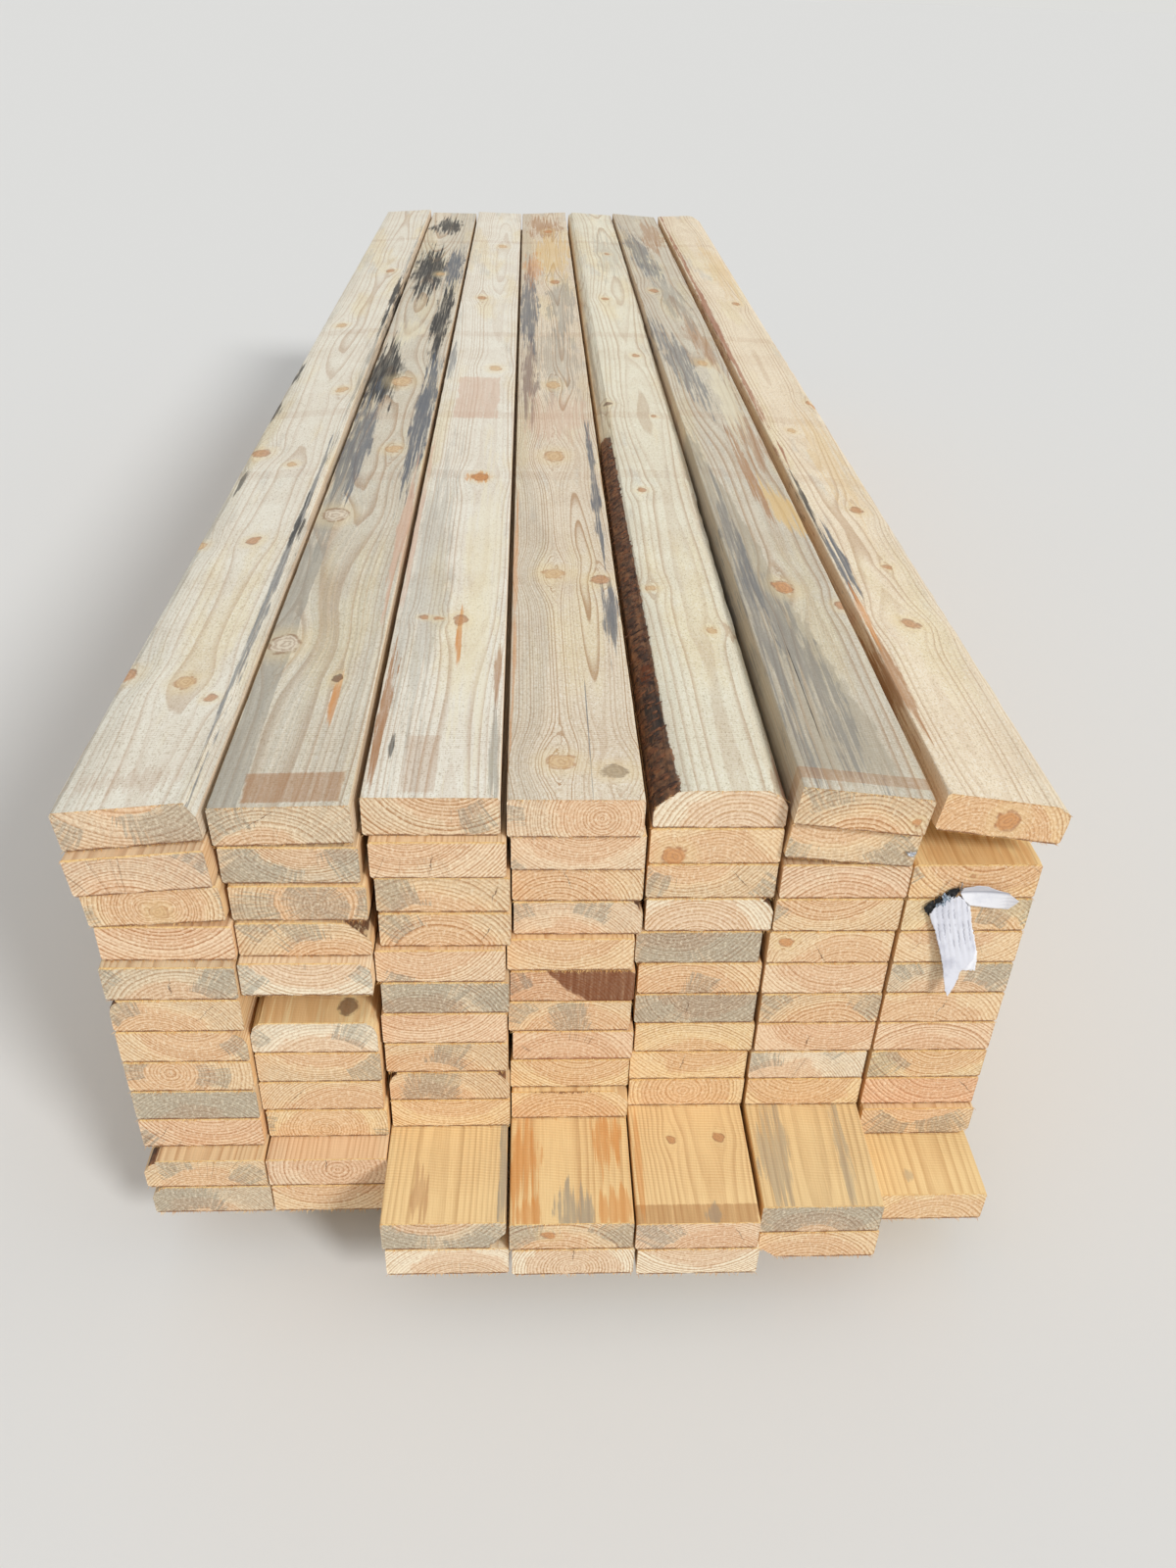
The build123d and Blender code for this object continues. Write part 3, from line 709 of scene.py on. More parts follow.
# The resin knots' pale cream is dried resin with a painted glint on it
KNOT_COLOURS = {
    "pale": shade(220, 186, 138), "red": shade(196, 138, 92), "dark": shade(104, 60, 42),
    "grey": shade(172, 152, 122), "orange": shade(206, 138, 78), "resin": shade(232, 220, 200),
}
KNOT_LINES = {
    "pale": shade(176, 122, 78), "red": shade(142, 84, 54), "dark": shade(62, 34, 28),
    "grey": shade(124, 100, 76), "orange": shade(150, 82, 42), "resin": shade(132, 84, 50),
}


def marks_sum(make, place, knots):
    """The place bent round every knot, and each knot's masks."""
    masks = []
    bent = place
    for at_x, at_y, size, stretch, colour in knots:
        inputs = {"Place": place, "Centre": (at_x / 1000, at_y / 1000, 0.0), "Size": size / 1000, "Stretch": stretch}
        out = make.group(knot_tree, inputs)
        bent = make.vector("ADD", bent, out["Bend"])
        masks.append((out, colour))
    return bent, masks


def weathered(make, place, colour):
    """Old top faces: yellow and grey clouds along the board, and furred speckles."""
    long_place = make.vector("MULTIPLY", place, (1.0, 0.16, 1.0))
    yellow = make.fade(make.noise(long_place, 14.0, 4.0, 0.6), 0.50, 0.66, 0.0, 0.55)
    grey = make.fade(make.noise(make.vector("ADD", long_place, (7.0, 0.0, 0.0)), 17.0, 4.0, 0.65), 0.54, 0.68, 0.0, 0.5)
    colour = make.mix(yellow, colour, WEATHERED_YELLOW)
    colour = make.mix(grey, colour, WEATHERED_GREY)
    speckles = make.noise(make.vector("MULTIPLY", place, (1.0, 0.6, 1.0)), 420.0, 3.0, 0.7)
    colour = make.mix(make.fade(speckles, 0.52, 0.66, 0.0, 0.6), colour, FUR_PALE)
    return make.mix(make.fade(speckles, 0.34, 0.46, 0.5, 0.0), colour, FUR_DARK)


def wood_material(name, end_grain, knots=(), smudges=(), ring_strength=0.6, tint=None, old=False, stained=0.4):
    """A sawn wood finish; knots and smudges are given in millimetres, and a tint as (share, colour)."""
    material = bpy.data.materials.new(name)
    material.use_nodes = True
    tree = material.node_tree
    make = Recipe(tree)
    shader = tree.nodes["Principled BSDF"]
    place = make.attribute("wood")
    across, along_board, upward = make.split(place)
    seed, stain, ring_width = make.split(make.attribute("facts"))
    wane, heart_radius, arris = make.split(make.attribute("wane"))
    flat = make.join(across, upward, 0.0) if end_grain else place
    bent, knot_masks = marks_sum(make, flat, knots)
    if end_grain:
        bent_x, bent_z, nothing = make.split(bent)
        bent = make.join(bent_x, along_board, bent_z)
    rings = make.group(rings_tree, {"Place": bent, "Pith": make.attribute("pith"), "Ring Width": ring_width, "Seed": seed})
    surface = make.group(surface_tree, {
        "Place": place, "Radius": rings["Radius"], "Seed": seed, "Sapwood": heart_radius, "Ray": rings["Ray"],
    })
    tone = make.attribute("tone")
    early = make.mix(make.fade(surface["Cloud"], 0.3, 0.7, 0.0, 0.35), tone, shade(246, 226, 190))
    early = make.mix(make.calc("MULTIPLY", surface["Heart"], 0.5 if end_grain else 0.25), early, HEART_WOOD)
    if tint:
        early = make.mix(tint[0], early, tint[1])
    if old:
        early = weathered(make, place, early)
    late_share = make.calc("MULTIPLY", make.calc("POWER", rings["Ring"], 2.2 if old else 1.2), ring_strength)
    if end_grain:
        late_share = make.calc("MULTIPLY", late_share, rings["Bold"])
    colour = make.mix(late_share, early, OLD_LATE_WOOD if old else make.mix(0.95, tone, LATE_WOOD, "MULTIPLY"))
    fibre_share = make.fade(rings["Fibre"], 0.35, 0.75, 0.0, 0.22 if end_grain or old else 0.34)
    colour = make.mix(fibre_share, colour, make.mix(0.6, colour, LATE_WOOD, "MULTIPLY"))
    stain_share = make.calc("MULTIPLY", surface["Stain"], make.calc("MULTIPLY", stain, stained))
    if end_grain:
        for label in ("patch_a", "patch_b"):
            inputs = {
                "Place": place, "Patch": make.attribute(label), "From Pith": rings["From Pith"],
                "Ray": rings["Ray"], "Cloud": surface["Cloud"],
            }
            patch = make.calc("MULTIPLY", make.group(patch_tree, inputs)["Mask"], 0.82)
            stain_share = make.calc("MAXIMUM", stain_share, patch)
    stain_share = make.calc("MULTIPLY", stain_share, make.fade(rings["Fibre"], 0.2, 0.7, 0.75, 1.0))
    colour = make.mix(stain_share, colour, make.mix(0.3, STAIN_GREY, colour))
    height = make.calc("MULTIPLY", surface["Fur"] if end_grain else rings["Fibre"], 0.5)
    if end_grain:
        crack = make.group(crack_tree, {"Place": place, "Crack": make.attribute("crack")})["Mask"]
        split = make.calc("MAXIMUM", make.calc("MULTIPLY", rings["Check"], 0.5), crack)
        # The cracks get painted shade: dark brown where they sink in
        colour = make.mix(make.calc("MULTIPLY", split, 0.85), colour, CRACK_SHADE)
        height = make.calc("SUBTRACT", height, make.calc("MULTIPLY", split, 0.9))
        pale_fur = make.fade(surface["Fur"], 0.52, 0.70, 0.0, 0.5)
        colour = make.mix(pale_fur, colour, shade(254, 242, 214))
        dark_fur = make.fade(surface["Fur"], 0.32, 0.46, 0.45, 0.0)
        colour = make.mix(dark_fur, colour, make.mix(1.0, colour, LATE_WOOD, "MULTIPLY"))
        saw_shade = make.fade(make.noise(make.vector("MULTIPLY", place, (1.0, 1.0, 3.0)), 60.0, 4.0, 0.7), 0.3, 0.5, 0.28, 0.0)
        colour = make.mix(saw_shade, colour, make.mix(0.8, colour, LATE_WOOD, "MULTIPLY"))
        tufts = make.noise(place, 260.0, 3.0, 0.7)
        colour = make.mix(make.fade(tufts, 0.36, 0.50, 0.40, 0.0), colour, make.mix(0.8, colour, LATE_WOOD, "MULTIPLY"))
        colour = make.mix(make.fade(tufts, 0.52, 0.66, 0.0, 0.45), colour, shade(254, 242, 214))
        frayed = make.calc("MULTIPLY", make.calc("SUBTRACT", surface["Fur"], 0.5), 0.007)
        uneven = make.calc("MULTIPLY", make.calc("SUBTRACT", make.noise(place, 42.0, 2.0), 0.5), 0.006)
        height_up = make.calc("ADD", make.calc("ADD", upward, frayed), uneven)
        top = BOARD_THICKNESS / 2
        # A strip along the top edge of a lower board's end: gold fibres, brightened as painted sunlight
        lit = make.calc("MULTIPLY", make.fade(height_up, top - 0.0036, top - 0.0012, 0.0, 0.9), arris)
        colour = make.mix(lit, colour, make.mix(make.fade(surface["Fur"], 0.4, 0.6), LIT_GOLDEN_ARRIS, shade(248, 222, 164)))
        # A painted shadow along the bottom edge of the end, where the seam under the board is
        colour = make.mix(make.fade(height_up, 0.0024 - top, 0.0004 - top, 0.0, 0.85), colour, SEAM_SHADOW)
    else:
        hatched = make.calc("MULTIPLY", surface["Ridges"], make.fade(make.noise(place, 9.0, 2.0), 0.42, 0.62, 0.25, 1.0))
        height = make.calc("ADD", height, make.calc("MULTIPLY", hatched, 0.4))
        sunlit = make.calc("MULTIPLY", hatched, 0.2)
        colour = make.mix(sunlit, colour, make.mix(1.0, colour, LATE_WOOD, "MULTIPLY"))
        # The sides: the sawn wood's gold, brightened as painted sunlight and bounce light in the gaps
        sunlit_side = make.fade(make.calc("ABSOLUTE", across), BOARD_WIDTH / 2 - 0.0016, BOARD_WIDTH / 2 - 0.0006, 0.0, 0.25)
        colour = make.mix(sunlit_side, colour, SUNLIT_SIDE_GOLD)
    scales = make.noise(make.vector("MULTIPLY", place, (1.0, 0.45, 1.0)), 95.0, 5.0, 0.7)
    bark = make.mix(make.fade(scales, 0.35, 0.7), shade(58, 36, 28), shade(150, 104, 70))
    colour = make.mix(make.calc("MULTIPLY", wane, 0.35), colour, bark)
    flaked = make.calc("ADD", wane, make.calc("MULTIPLY", make.calc("SUBTRACT", scales, 0.5), 0.7))
    colour = make.mix(make.fade(flaked, 0.50, 0.58, 0.0, 0.95), colour, bark)
    for at_x, at_y, half_across, half_along, broken, strength, key, *shape in smudges:
        lean, square = shape or (0.0, 0.0)
        inputs = {
            "Place": flat, "Centre": (at_x / 1000, at_y / 1000, 0.0),
            "Half Size": (half_across / 1000, half_along / 1000, 1.0), "Broken": broken,
            "Lean": lean, "Square": square,
        }
        mask = make.calc("MULTIPLY", make.group(smudge_tree, inputs)["Mask"], strength)
        colour = make.mix(mask, colour, SMUDGE_COLOURS[key])
    for masks, key in knot_masks:
        grown = make.mix(make.calc("MULTIPLY", masks["Rings"], 0.5), KNOT_COLOURS[key], KNOT_LINES[key])
        colour = make.mix(make.calc("MULTIPLY", masks["Halo"], 0.3), colour, HALO_PALE)
        colour = make.mix(make.calc("MULTIPLY", masks["Knot"], 0.7), colour, grown)
        colour = make.mix(make.calc("MULTIPLY", masks["Outline"], 0.6), colour, KNOT_LINES[key])
        height = make.calc("ADD", height, make.calc("MULTIPLY", masks["Knot"], 0.4))
    tree.links.new(colour, shader.inputs["Base Color"])
    tree.links.new(make.fade(rings["Fibre"], 0.2, 0.8, 0.62, 0.86), shader.inputs["Roughness"])
    shader.inputs["Specular IOR Level"].default_value = 0.3
    bump = make.node("ShaderNodeBump", {"Strength": 0.65, "Distance": 0.0007, "Height": height})
    tree.links.new(bump.outputs[0], shader.inputs["Normal"])
    return material


END_RINGS = 1.0
end_material = wood_material("sawn_end", True, ring_strength=END_RINGS)
side_material = wood_material("sawn_side", False, ring_strength=0.6, tint=(0.2, FRESH_GOLD))

# Ends with a knot or resin of their own: millimetres across and up from the middle
END_KNOTS = {
    (1, 6): [(62, -6, 5, 1.0, "orange")], (1, 7): [(4, -2, 14, 1.0, "orange")], (2, 5): [(-46, -14, 14, 1.0, "orange")],
    (3, 1): [(5, -8, 10, 1.0, "pale")], (5, 6): [(-54, 8, 9, 0.8, "orange")], (11, 4): [(-27, 2, 9, 0.8, "orange")],
    (3, 7): [(-4, 8, 3, 1.0, "red")],
}
END_SMUDGES = {
    (6, 4): [(42, 0, 56, 40, 0.12, 0.9, "resin", -1.05, 1.0)], (8, 4): [(0, -24, 60, 4, 0.6, 0.5, "red")],
    (10, 4): [(-10, 24, 60, 4, 0.4, 0.8, "resin")],
}


def end_finish(course, column):
    """The finish of one near end: its own where it has marks, and otherwise the common one."""
    key = (course, column)
    if key not in END_KNOTS and key not in END_SMUDGES:
        return end_material
    name = f"marked_end_{course}_{column}"
    return wood_material(name, True, END_KNOTS.get(key, []), END_SMUDGES.get(key, []), END_RINGS)


print("wood finishes:", [m.name for m in (end_material, side_material)])

# %% [markdown]
# ## The seven top boards
# These show their whole faces, so each has its own list of what the photograph shows on it, in
# millimetres: across from the middle, and along from the near end. A knot has a size, a stretch
# and a colour. A smudge has half its size, how broken it is, how strong it is and a colour.

# %% Marks of the top boards
TOP_KNOTS = {
    1: [(6, 261, 14, 1.1, "pale"), (47, 217, 8, 1.1, "red"), (-74, 290, 14, 1.2, "red"), (6, 692, 11, 1.3, "red"),
        (-74, 687, 11, 1.2, "pale"), (-55, 1095, 16, 1.3, "red"), (10, 1025, 9, 1.3, "pale"), (41, 1458, 12, 1.6, "pale"),
        (-30, 2000, 12, 1.6, "pale"), (30, 2600, 12, 1.8, "red")],
    2: [(-52, 365, 20, 1.3, "resin"), (-46, 805, 20, 1.4, "resin"), (-4, 1545, 20, 1.7, "pale"), (16, 1119, 14, 1.4, "pale"),
        (27, 272, 6, 1.8, "dark"), (10, 2600, 12, 1.8, "pale")],
    3: [(-36, 426, 6, 1.0, "red"), (-19, 424, 6, 1.0, "red"), (12, 419, 9, 1.8, "red"), (20, 966, 13, 1.4, "orange"),
        (30, 1640, 13, 1.6, "pale"), (-20, 2300, 12, 1.6, "red"), (20, 3000, 13, 1.8, "pale")],
    4: [(-14, 575, 17, 1.1, "pale"), (52, 555, 15, 1.0, "red"), (-15, 74, 17, 0.9, "pale"), (44, 56, 16, 0.8, "grey"),
        (-6, 1080, 18, 1.5, "pale"), (0, 1520, 14, 1.8, "pale"), (20, 2500, 14, 1.8, "red"), (10, 3250, 14, 2.0, "orange")],
    5: [(-35, 512, 8, 1.1, "pale"), (34, 1305, 6, 1.4, "red"), (-20, 900, 8, 1.3, "red"), (30, 1750, 9, 1.5, "red"),
        (-10, 2300, 9, 1.6, "red"), (35, 380, 8, 1.1, "pale"), (-52, 1380, 8, 1.4, "dark"), (25, 2900, 9, 1.8, "red")],
    6: [(-4, 519, 16, 1.3, "orange"), (74, 478, 11, 1.3, "red"), (20, 1700, 13, 1.6, "pale"), (-30, 2400, 13, 1.8, "red")],
    7: [(-3, 429, 15, 0.9, "red"), (17, 850, 12, 1.2, "red"), (12, 622, 8, 1.1, "red"), (60, 1448, 12, 1.5, "orange"),
        (20, 2300, 11, 1.6, "red"), (-20, 1250, 9, 1.4, "pale")],
}
TOP_SMUDGES = {
    1: [(-73, 900, 8, 900, 0.8, 0.5, "grey"), (65, 560, 5, 640, 0.45, 0.7, "slate"), (70, 2200, 6, 1200, 0.7, 0.6, "grey"),
        (-68, 1346, 7, 100, 0.7, 0.8, "black"), (-69, 1612, 7, 90, 0.7, 0.8, "black"), (-63, 960, 8, 60, 0.7, 0.75, "black"),
        (66, 720, 7, 120, 0.5, 0.85, "black"), (69, 2250, 9, 360, 0.4, 0.9, "black"), (0, 50, 76, 26, 0.9, 0.2, "brown")],
    2: [(-58, 300, 17, 420, 0.3, 0.62, "grey", 0.0, 1.0), (12, 36, 54, 30, 0.4, 0.6, "brown", 0.0, 1.0),
        (-48, 1600, 42, 300, 0.1, 0.97, "black"), (46, 2090, 24, 420, 0.3, 0.97, "black"),
        (54, 1300, 24, 460, 0.5, 0.9, "slate"), (-20, 2640, 56, 340, 0.12, 0.97, "black"),
        (44, 2720, 34, 300, 0.4, 0.9, "slate"), (-10, 3350, 60, 150, 0.3, 0.92, "black"),
        (-52, 1160, 36, 320, 0.6, 0.8, "slate"), (66, 760, 10, 300, 0.45, 0.7, "pink"),
        (30, 215, 6, 80, 0.1, 0.8, "orange"), (-58, 860, 18, 260, 0.5, 0.6, "grey"), (-20, 1960, 40, 120, 0.5, 0.5, "cream")],
    3: [(-39, 560, 37, 560, 0.12, 0.34, "grey"), (38, 560, 34, 560, 0.25, 0.4, "cream"), (-66, 190, 9, 135, 0.3, 0.85, "brown"),
        (-50, 100, 4, 40, 0.1, 0.9, "black"), (13, 380, 5, 90, 0.1, 0.85, "orange"), (20, 966, 26, 26, 0.3, 0.8, "orange"),
        (0, 1430, 46, 150, 0.5, 0.5, "pink", 0.0, 1.0), (66, 275, 6, 90, 0.2, 0.7, "brown"), (66, 90, 8, 120, 0.25, 0.6, "grey"),
        (-70, 800, 5, 360, 0.5, 0.6, "pink"), (-15, 68, 20, 62, 0.3, 0.3, "brown", 0.0, 1.0),
        (-66, 1700, 10, 160, 0.4, 0.6, "slate")],
    4: [(60, 960, 9, 300, 0.5, 0.85, "slate"), (62, 430, 14, 130, 0.6, 0.85, "slate"),
        (-52, 1620, 22, 330, 0.5, 0.75, "purple"), (-52, 2250, 26, 480, 0.6, 0.75, "slate"),
        (20, 2900, 60, 420, 0.6, 0.6, "yellow"), (30, 2250, 40, 420, 0.7, 0.55, "grey"), (10, 1700, 60, 330, 0.8, 0.4, "grey"),
        (18, 130, 1, 150, 0.1, 0.7, "slate"), (-70, 500, 4, 500, 0.7, 0.5, "orange"), (0, 1300, 70, 160, 0.8, 0.35, "pink"),
        (0, 3350, 70, 200, 0.6, 0.6, "brown"), (-40, 2700, 30, 260, 0.7, 0.5, "orange")],
    5: [(74, 700, 3, 650, 0.4, 0.7, "grey"), (-61, 190, 11, 90, 0.2, 0.85, "black"), (-60, 280, 11, 30, 0.1, 0.95, "resin"),
        (70, 30, 6, 90, 0.2, 0.7, "red"), (-68, 1700, 5, 500, 0.6, 0.5, "grey"), (30, 2900, 50, 400, 0.7, 0.3, "grey")],
    6: [(-75, 600, 70, 620, 0.4, 0.66, "warm", -0.103, 1.0), (-58, 480, 18, 520, 0.8, 0.45, "slate"),
        (-20, 330, 30, 360, 0.9, 0.4, "slate", -0.1, 0.0), (50, 850, 34, 140, 0.4, 0.7, "yellow", -0.15, 0.0),
        (16, 1010, 12, 260, 0.6, 0.7, "brown", -0.03, 0.0), (48, 1180, 26, 200, 0.7, 0.5, "brown"),
        (-34, 1700, 40, 380, 0.7, 0.6, "slate", -0.08, 0.0), (34, 1950, 26, 400, 0.7, 0.5, "brown", -0.06, 0.0),
        (10, 2350, 44, 420, 0.8, 0.5, "grey", -0.06, 0.0), (-30, 2900, 44, 420, 0.7, 0.6, "slate", -0.05, 0.0),
        (30, 3250, 40, 300, 0.7, 0.5, "brown"), (0, 30, 90, 12, 0.4, 0.42, "brown", 0.0, 1.0),
        (-34, 240, 1, 260, 0.0, 0.8, "black"), (40, 1480, 30, 300, 0.5, 0.5, "cream")],
    7: [(-66, 2150, 9, 1400, 0.45, 0.8, "red"), (-60, 620, 13, 170, 0.25, 0.9, "slate"), (-68, 880, 6, 150, 0.3, 0.9, "black"),
        (-68, 260, 10, 170, 0.3, 0.8, "brown"), (-66, 430, 8, 90, 0.4, 0.7, "orange"),
        (20, 1100, 40, 300, 0.8, 0.35, "yellow"), (30, 2700, 40, 400, 0.7, 0.4, "yellow")],
}
STICKER_PLACES = (980, 1310, 1930, 3070)
STICKER_HALF = 22
RING_STRENGTHS = {1: 0.52, 2: 0.66, 3: 0.5, 4: 0.9, 5: 0.52, 6: 0.75, 7: 0.48}
TOP_COLOURS = {
    1: shade(240, 237, 222), 2: shade(234, 226, 206), 3: shade(242, 239, 225), 4: shade(234, 222, 199),
    5: shade(240, 236, 214), 6: shade(230, 221, 200), 7: shade(244, 230, 203),
}


def top_material(column):
    sticks = [(0, place, 90, STICKER_HALF, 0.9, 0.13, "brown", 0.0, 1.0) for place in STICKER_PLACES]
    smudges = sticks + TOP_SMUDGES[column]
    sun_bleached = (0.95, TOP_COLOURS[column])
    return wood_material(
        f"top_face_{column}", False, TOP_KNOTS[column], smudges, RING_STRENGTHS[column], sun_bleached, True,
    )


for column in range(1, COLUMNS + 1):
    node = f"top_board_{column}"
    dressing = Dressing()
    dressing.add_board(loose_solids(node)[0], board_facts(1, column), 0.03, 0, 1)
    piece = dressing.finish(f"dressed_{node}", [top_material(column), end_finish(1, column)])
    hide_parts(node)
    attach(piece, "root")
    print(piece.name, len(piece.data.polygons), "faces")

# %% [markdown]
# ## The lower courses
# Only their ends and a few tops show, where a board was pushed out of the stack. Those tops never
# lay in the weather, so they kept their golden colour, with a brown band where the end dried.

# %% The lower courses
SHOWN_KNOTS = {
    (7, 2): [(38, 26, 13, 1.1, "dark")],
    (11, 5): [(-22, 124, 6, 1.1, "red"), (39, 126, 7, 1.1, "red")],
}
SHOWN_SMUDGES = {
    (3, 7): [(0, 10, 76, 60, 0.5, 0.4, "orange")],
    (7, 2): [(0, 80, 76, 140, 0.6, 0.35, "orange")],
    (11, 3): [(70, 90, 7, 110, 0.4, 0.7, "grey"), (-30, 40, 12, 40, 0.7, 0.4, "red")],
    (11, 4): [(-56, 110, 20, 90, 0.4, 0.7, "orange"), (48, 120, 24, 50, 0.6, 0.7, "orange"),
              (-52, 12, 20, 30, 0.4, 0.6, "orange"), (4, 14, 34, 44, 0.7, 0.7, "grey"), (54, 16, 22, 34, 0.5, 0.6, "orange")],
    (11, 5): [(0, 6, 90, 22, 0.5, 0.55, "brown", 0.0, 1.0), (-66, 90, 6, 100, 0.5, 0.5, "orange"),
              (20, 12, 14, 16, 0.5, 0.5, "grey")],
    (11, 6): [(-50, 80, 24, 110, 0.7, 0.5, "grey"), (40, 80, 10, 110, 0.6, 0.5, "grey")],
    (12, 7): [(-68, 80, 6, 90, 0.5, 0.6, "orange"), (-20, 30, 8, 16, 0.4, 0.4, "grey")],
}


def shown_material(course, column):
    knots = SHOWN_KNOTS.get((course, column), [])
    name = f"shown_face_{course}_{column}"
    return wood_material(name, False, knots, SHOWN_SMUDGES[course, column], 0.4, (0.85, SHOWN_GOLD), stained=0.12)


for course in range(2, COURSES + 1):
    node = f"course_{course:02d}_boards"
    dressing = Dressing()
    finishes = [side_material, end_material]
    for column, solid in enumerate(loose_solids(node), start=1):
        face_slot = 0
        if (course, column) in SHOWN_SMUDGES:
            face_slot = len(finishes)
            finishes.append(shown_material(course, column))
        end_slot = 1
        if end_finish(course, column) is not end_material:
            end_slot = len(finishes)
            finishes.append(end_finish(course, column))
        dressing.add_board(solid, board_facts(course, column), 0.3, face_slot, end_slot)
    piece = dressing.finish(f"dressed_{node}", finishes)
    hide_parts(node)
    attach(piece, "root")
print("lower courses dressed")

# %% [markdown]
# ## Torn fibres
# The saw tears long fibres out of every bottom arris, and they stand in the seams as gold fluff. It
# is one sliver repeated thousands of times, so a Geometry Nodes tree grows it: the ends' outlines
# come in as edges, points are spread along them, a random part of them is kept, and each one gets
# a sliver that points outward and to one side. The tree ends by making the copies real.

# %% Torn fibres
FIBRE_SPACING = 0.0014
FIBRE_KEPT = 0.5
FIBRE_LENGTH = 0.0052
FIBRE_RADIUS = 0.0004


def end_outlines():
    """The top and bottom edges of every board's near end as one mesh of edges, just inside the arris."""
    points, edges = [], []
    nodes = [f"top_board_{column}" for column in range(1, COLUMNS + 1)]
    nodes += [f"course_{course:02d}_boards" for course in range(2, COURSES + 1)]
    for node in nodes:
        for corners, faces in loose_solids(node):
            y_near = min(p.y for p in corners)
            middle, tilt = end_pose(corners, y_near)
            flat = {(round(p.x, 5), round(p.z, 5)) for p in corners if p.y < y_near + 2e-5}
            loop = sorted(flat, key=lambda p: math.atan2(p[1] - middle.z, p[0] - middle.x))
            first = len(points)
            for px, pz in loop:
                inset = Vector((px, y_near, pz)).lerp(middle, 0.012)
                points.append(inset)
            for i in range(len(loop)):
                j = (i + 1) % len(loop)
                if abs(points[first + i].x - points[first + j].x) > abs(points[first + i].z - points[first + j].z):
                    edges.append((first + i, first + j))
    mesh = bpy.data.meshes.new("end_outlines")
    mesh.from_pydata(points, edges, [])
    return mesh


def socket_id(tree, label):
    return next(item.identifier for item in tree.interface.items_tree if item.name == label and item.in_out == "INPUT")


def geometry_tree(name, numbers):
    """A Geometry Nodes tree with a geometry input and output, named numbers and a material."""
    tree = bpy.data.node_groups.new(name, "GeometryNodeTree")
    tree.interface.new_socket("Geometry", in_out="INPUT", socket_type="NodeSocketGeometry")
    for label in numbers:
        tree.interface.new_socket(label, in_out="INPUT", socket_type="NodeSocketFloat")
    tree.interface.new_socket("Material", in_out="INPUT", socket_type="NodeSocketMaterial")
    tree.interface.new_socket("Geometry", in_out="OUTPUT", socket_type="NodeSocketGeometry")
    return tree, Recipe(tree), tree.nodes.new("NodeGroupInput").outputs, tree.nodes.new("NodeGroupOutput").inputs


def grown(name, source, tree, values):
    """Runs a Geometry Nodes tree on a mesh and returns the result as a plain object."""
    maker = bpy.data.objects.new(name + "_maker", source)
    scene.collection.objects.link(maker)
    modifier = maker.modifiers.new("grow", "NODES")
    modifier.node_group = tree
    for label, value in values.items():
        modifier[socket_id(tree, label)] = value
    evaluated = maker.evaluated_get(bpy.context.evaluated_depsgraph_get())
    mesh = bpy.data.meshes.new_from_object(evaluated)
    maker.modifiers.remove(modifier)
    bpy.data.objects.remove(maker)
    mesh.name = name
    made = bpy.data.objects.new(name, mesh)
    scene.collection.objects.link(made)
    return made


fibre_tree, make, entry, leave = geometry_tree("torn fibres", ["Spacing", "Kept", "Length", "Thickness"])
lines = make.node("GeometryNodeMeshToCurve", {0: entry["Geometry"]}).outputs[0]
spread = make.node("GeometryNodeCurveToPoints", {"Curve": lines, "Length": entry["Spacing"]}, mode="LENGTH").outputs
chance = make.node("FunctionNodeRandomValue", {"Probability": entry["Kept"], "Seed": 11}, data_type="BOOLEAN")
sliver = make.node("GeometryNodeMeshCone", {
    "Vertices": 3, "Radius Top": 0.0, "Radius Bottom": entry["Thickness"], "Depth": entry["Length"],
}).outputs[0]
lean = make.node("FunctionNodeRandomValue", {0: (1.15, -0.5, -0.9), 1: (2.1, 0.5, 0.9), "Seed": 3}, data_type="FLOAT_VECTOR")
growth = make.node("FunctionNodeRandomValue", {2: 0.35, 3: 1.25, "Seed": 7}, data_type="FLOAT")
turned = make.node("FunctionNodeEulerToRotation", {0: lean.outputs["Value"]}).outputs[0]
copies = make.node("GeometryNodeInstanceOnPoints", {
    "Points": spread["Points"], "Selection": chance.outputs[3], "Instance": sliver, "Rotation": turned,
    "Scale": growth.outputs[1],
}).outputs[0]
real = make.node("GeometryNodeRealizeInstances", {0: copies}).outputs[0]
painted = make.node("GeometryNodeSetMaterial", {"Geometry": real, "Material": entry["Material"]}).outputs[0]
send(fibre_tree, painted, leave["Geometry"])


def fibre_material():
    """Golden wood fibre, paler and darker by place."""
    material = bpy.data.materials.new("torn_fibre")
    material.use_nodes = True
    make = Recipe(material.node_tree)
    shader = material.node_tree.nodes["Principled BSDF"]
    place = make.node("ShaderNodeTexCoord", {}).outputs["Object"]
    patches = make.noise(place, 160.0, 3.0, 0.7)
    colour = make.mix(make.fade(patches, 0.35, 0.65), shade(206, 144, 74), shade(246, 214, 150))
    material.node_tree.links.new(colour, shader.inputs["Base Color"])
    shader.inputs["Roughness"].default_value = 0.7
    return material


fibres = grown("torn_fibres", end_outlines(), fibre_tree, {
    "Spacing": FIBRE_SPACING, "Kept": FIBRE_KEPT, "Length": FIBRE_LENGTH, "Thickness": FIBRE_RADIUS,
    "Material": fibre_material(),
})
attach(fibres, "root")
print("torn fibres:", len(fibres.data.polygons), "faces")

# %% [markdown]
# ## Bark on a waney edge
# One top board was sawn so near the log's outside that its left edge is still bark. Bark breaks into
# small plates, so a second Geometry Nodes tree scatters flattened lumps over a strip of the wane.
# The strip is taken from the dressed board itself, wherever its points say that bark is left.

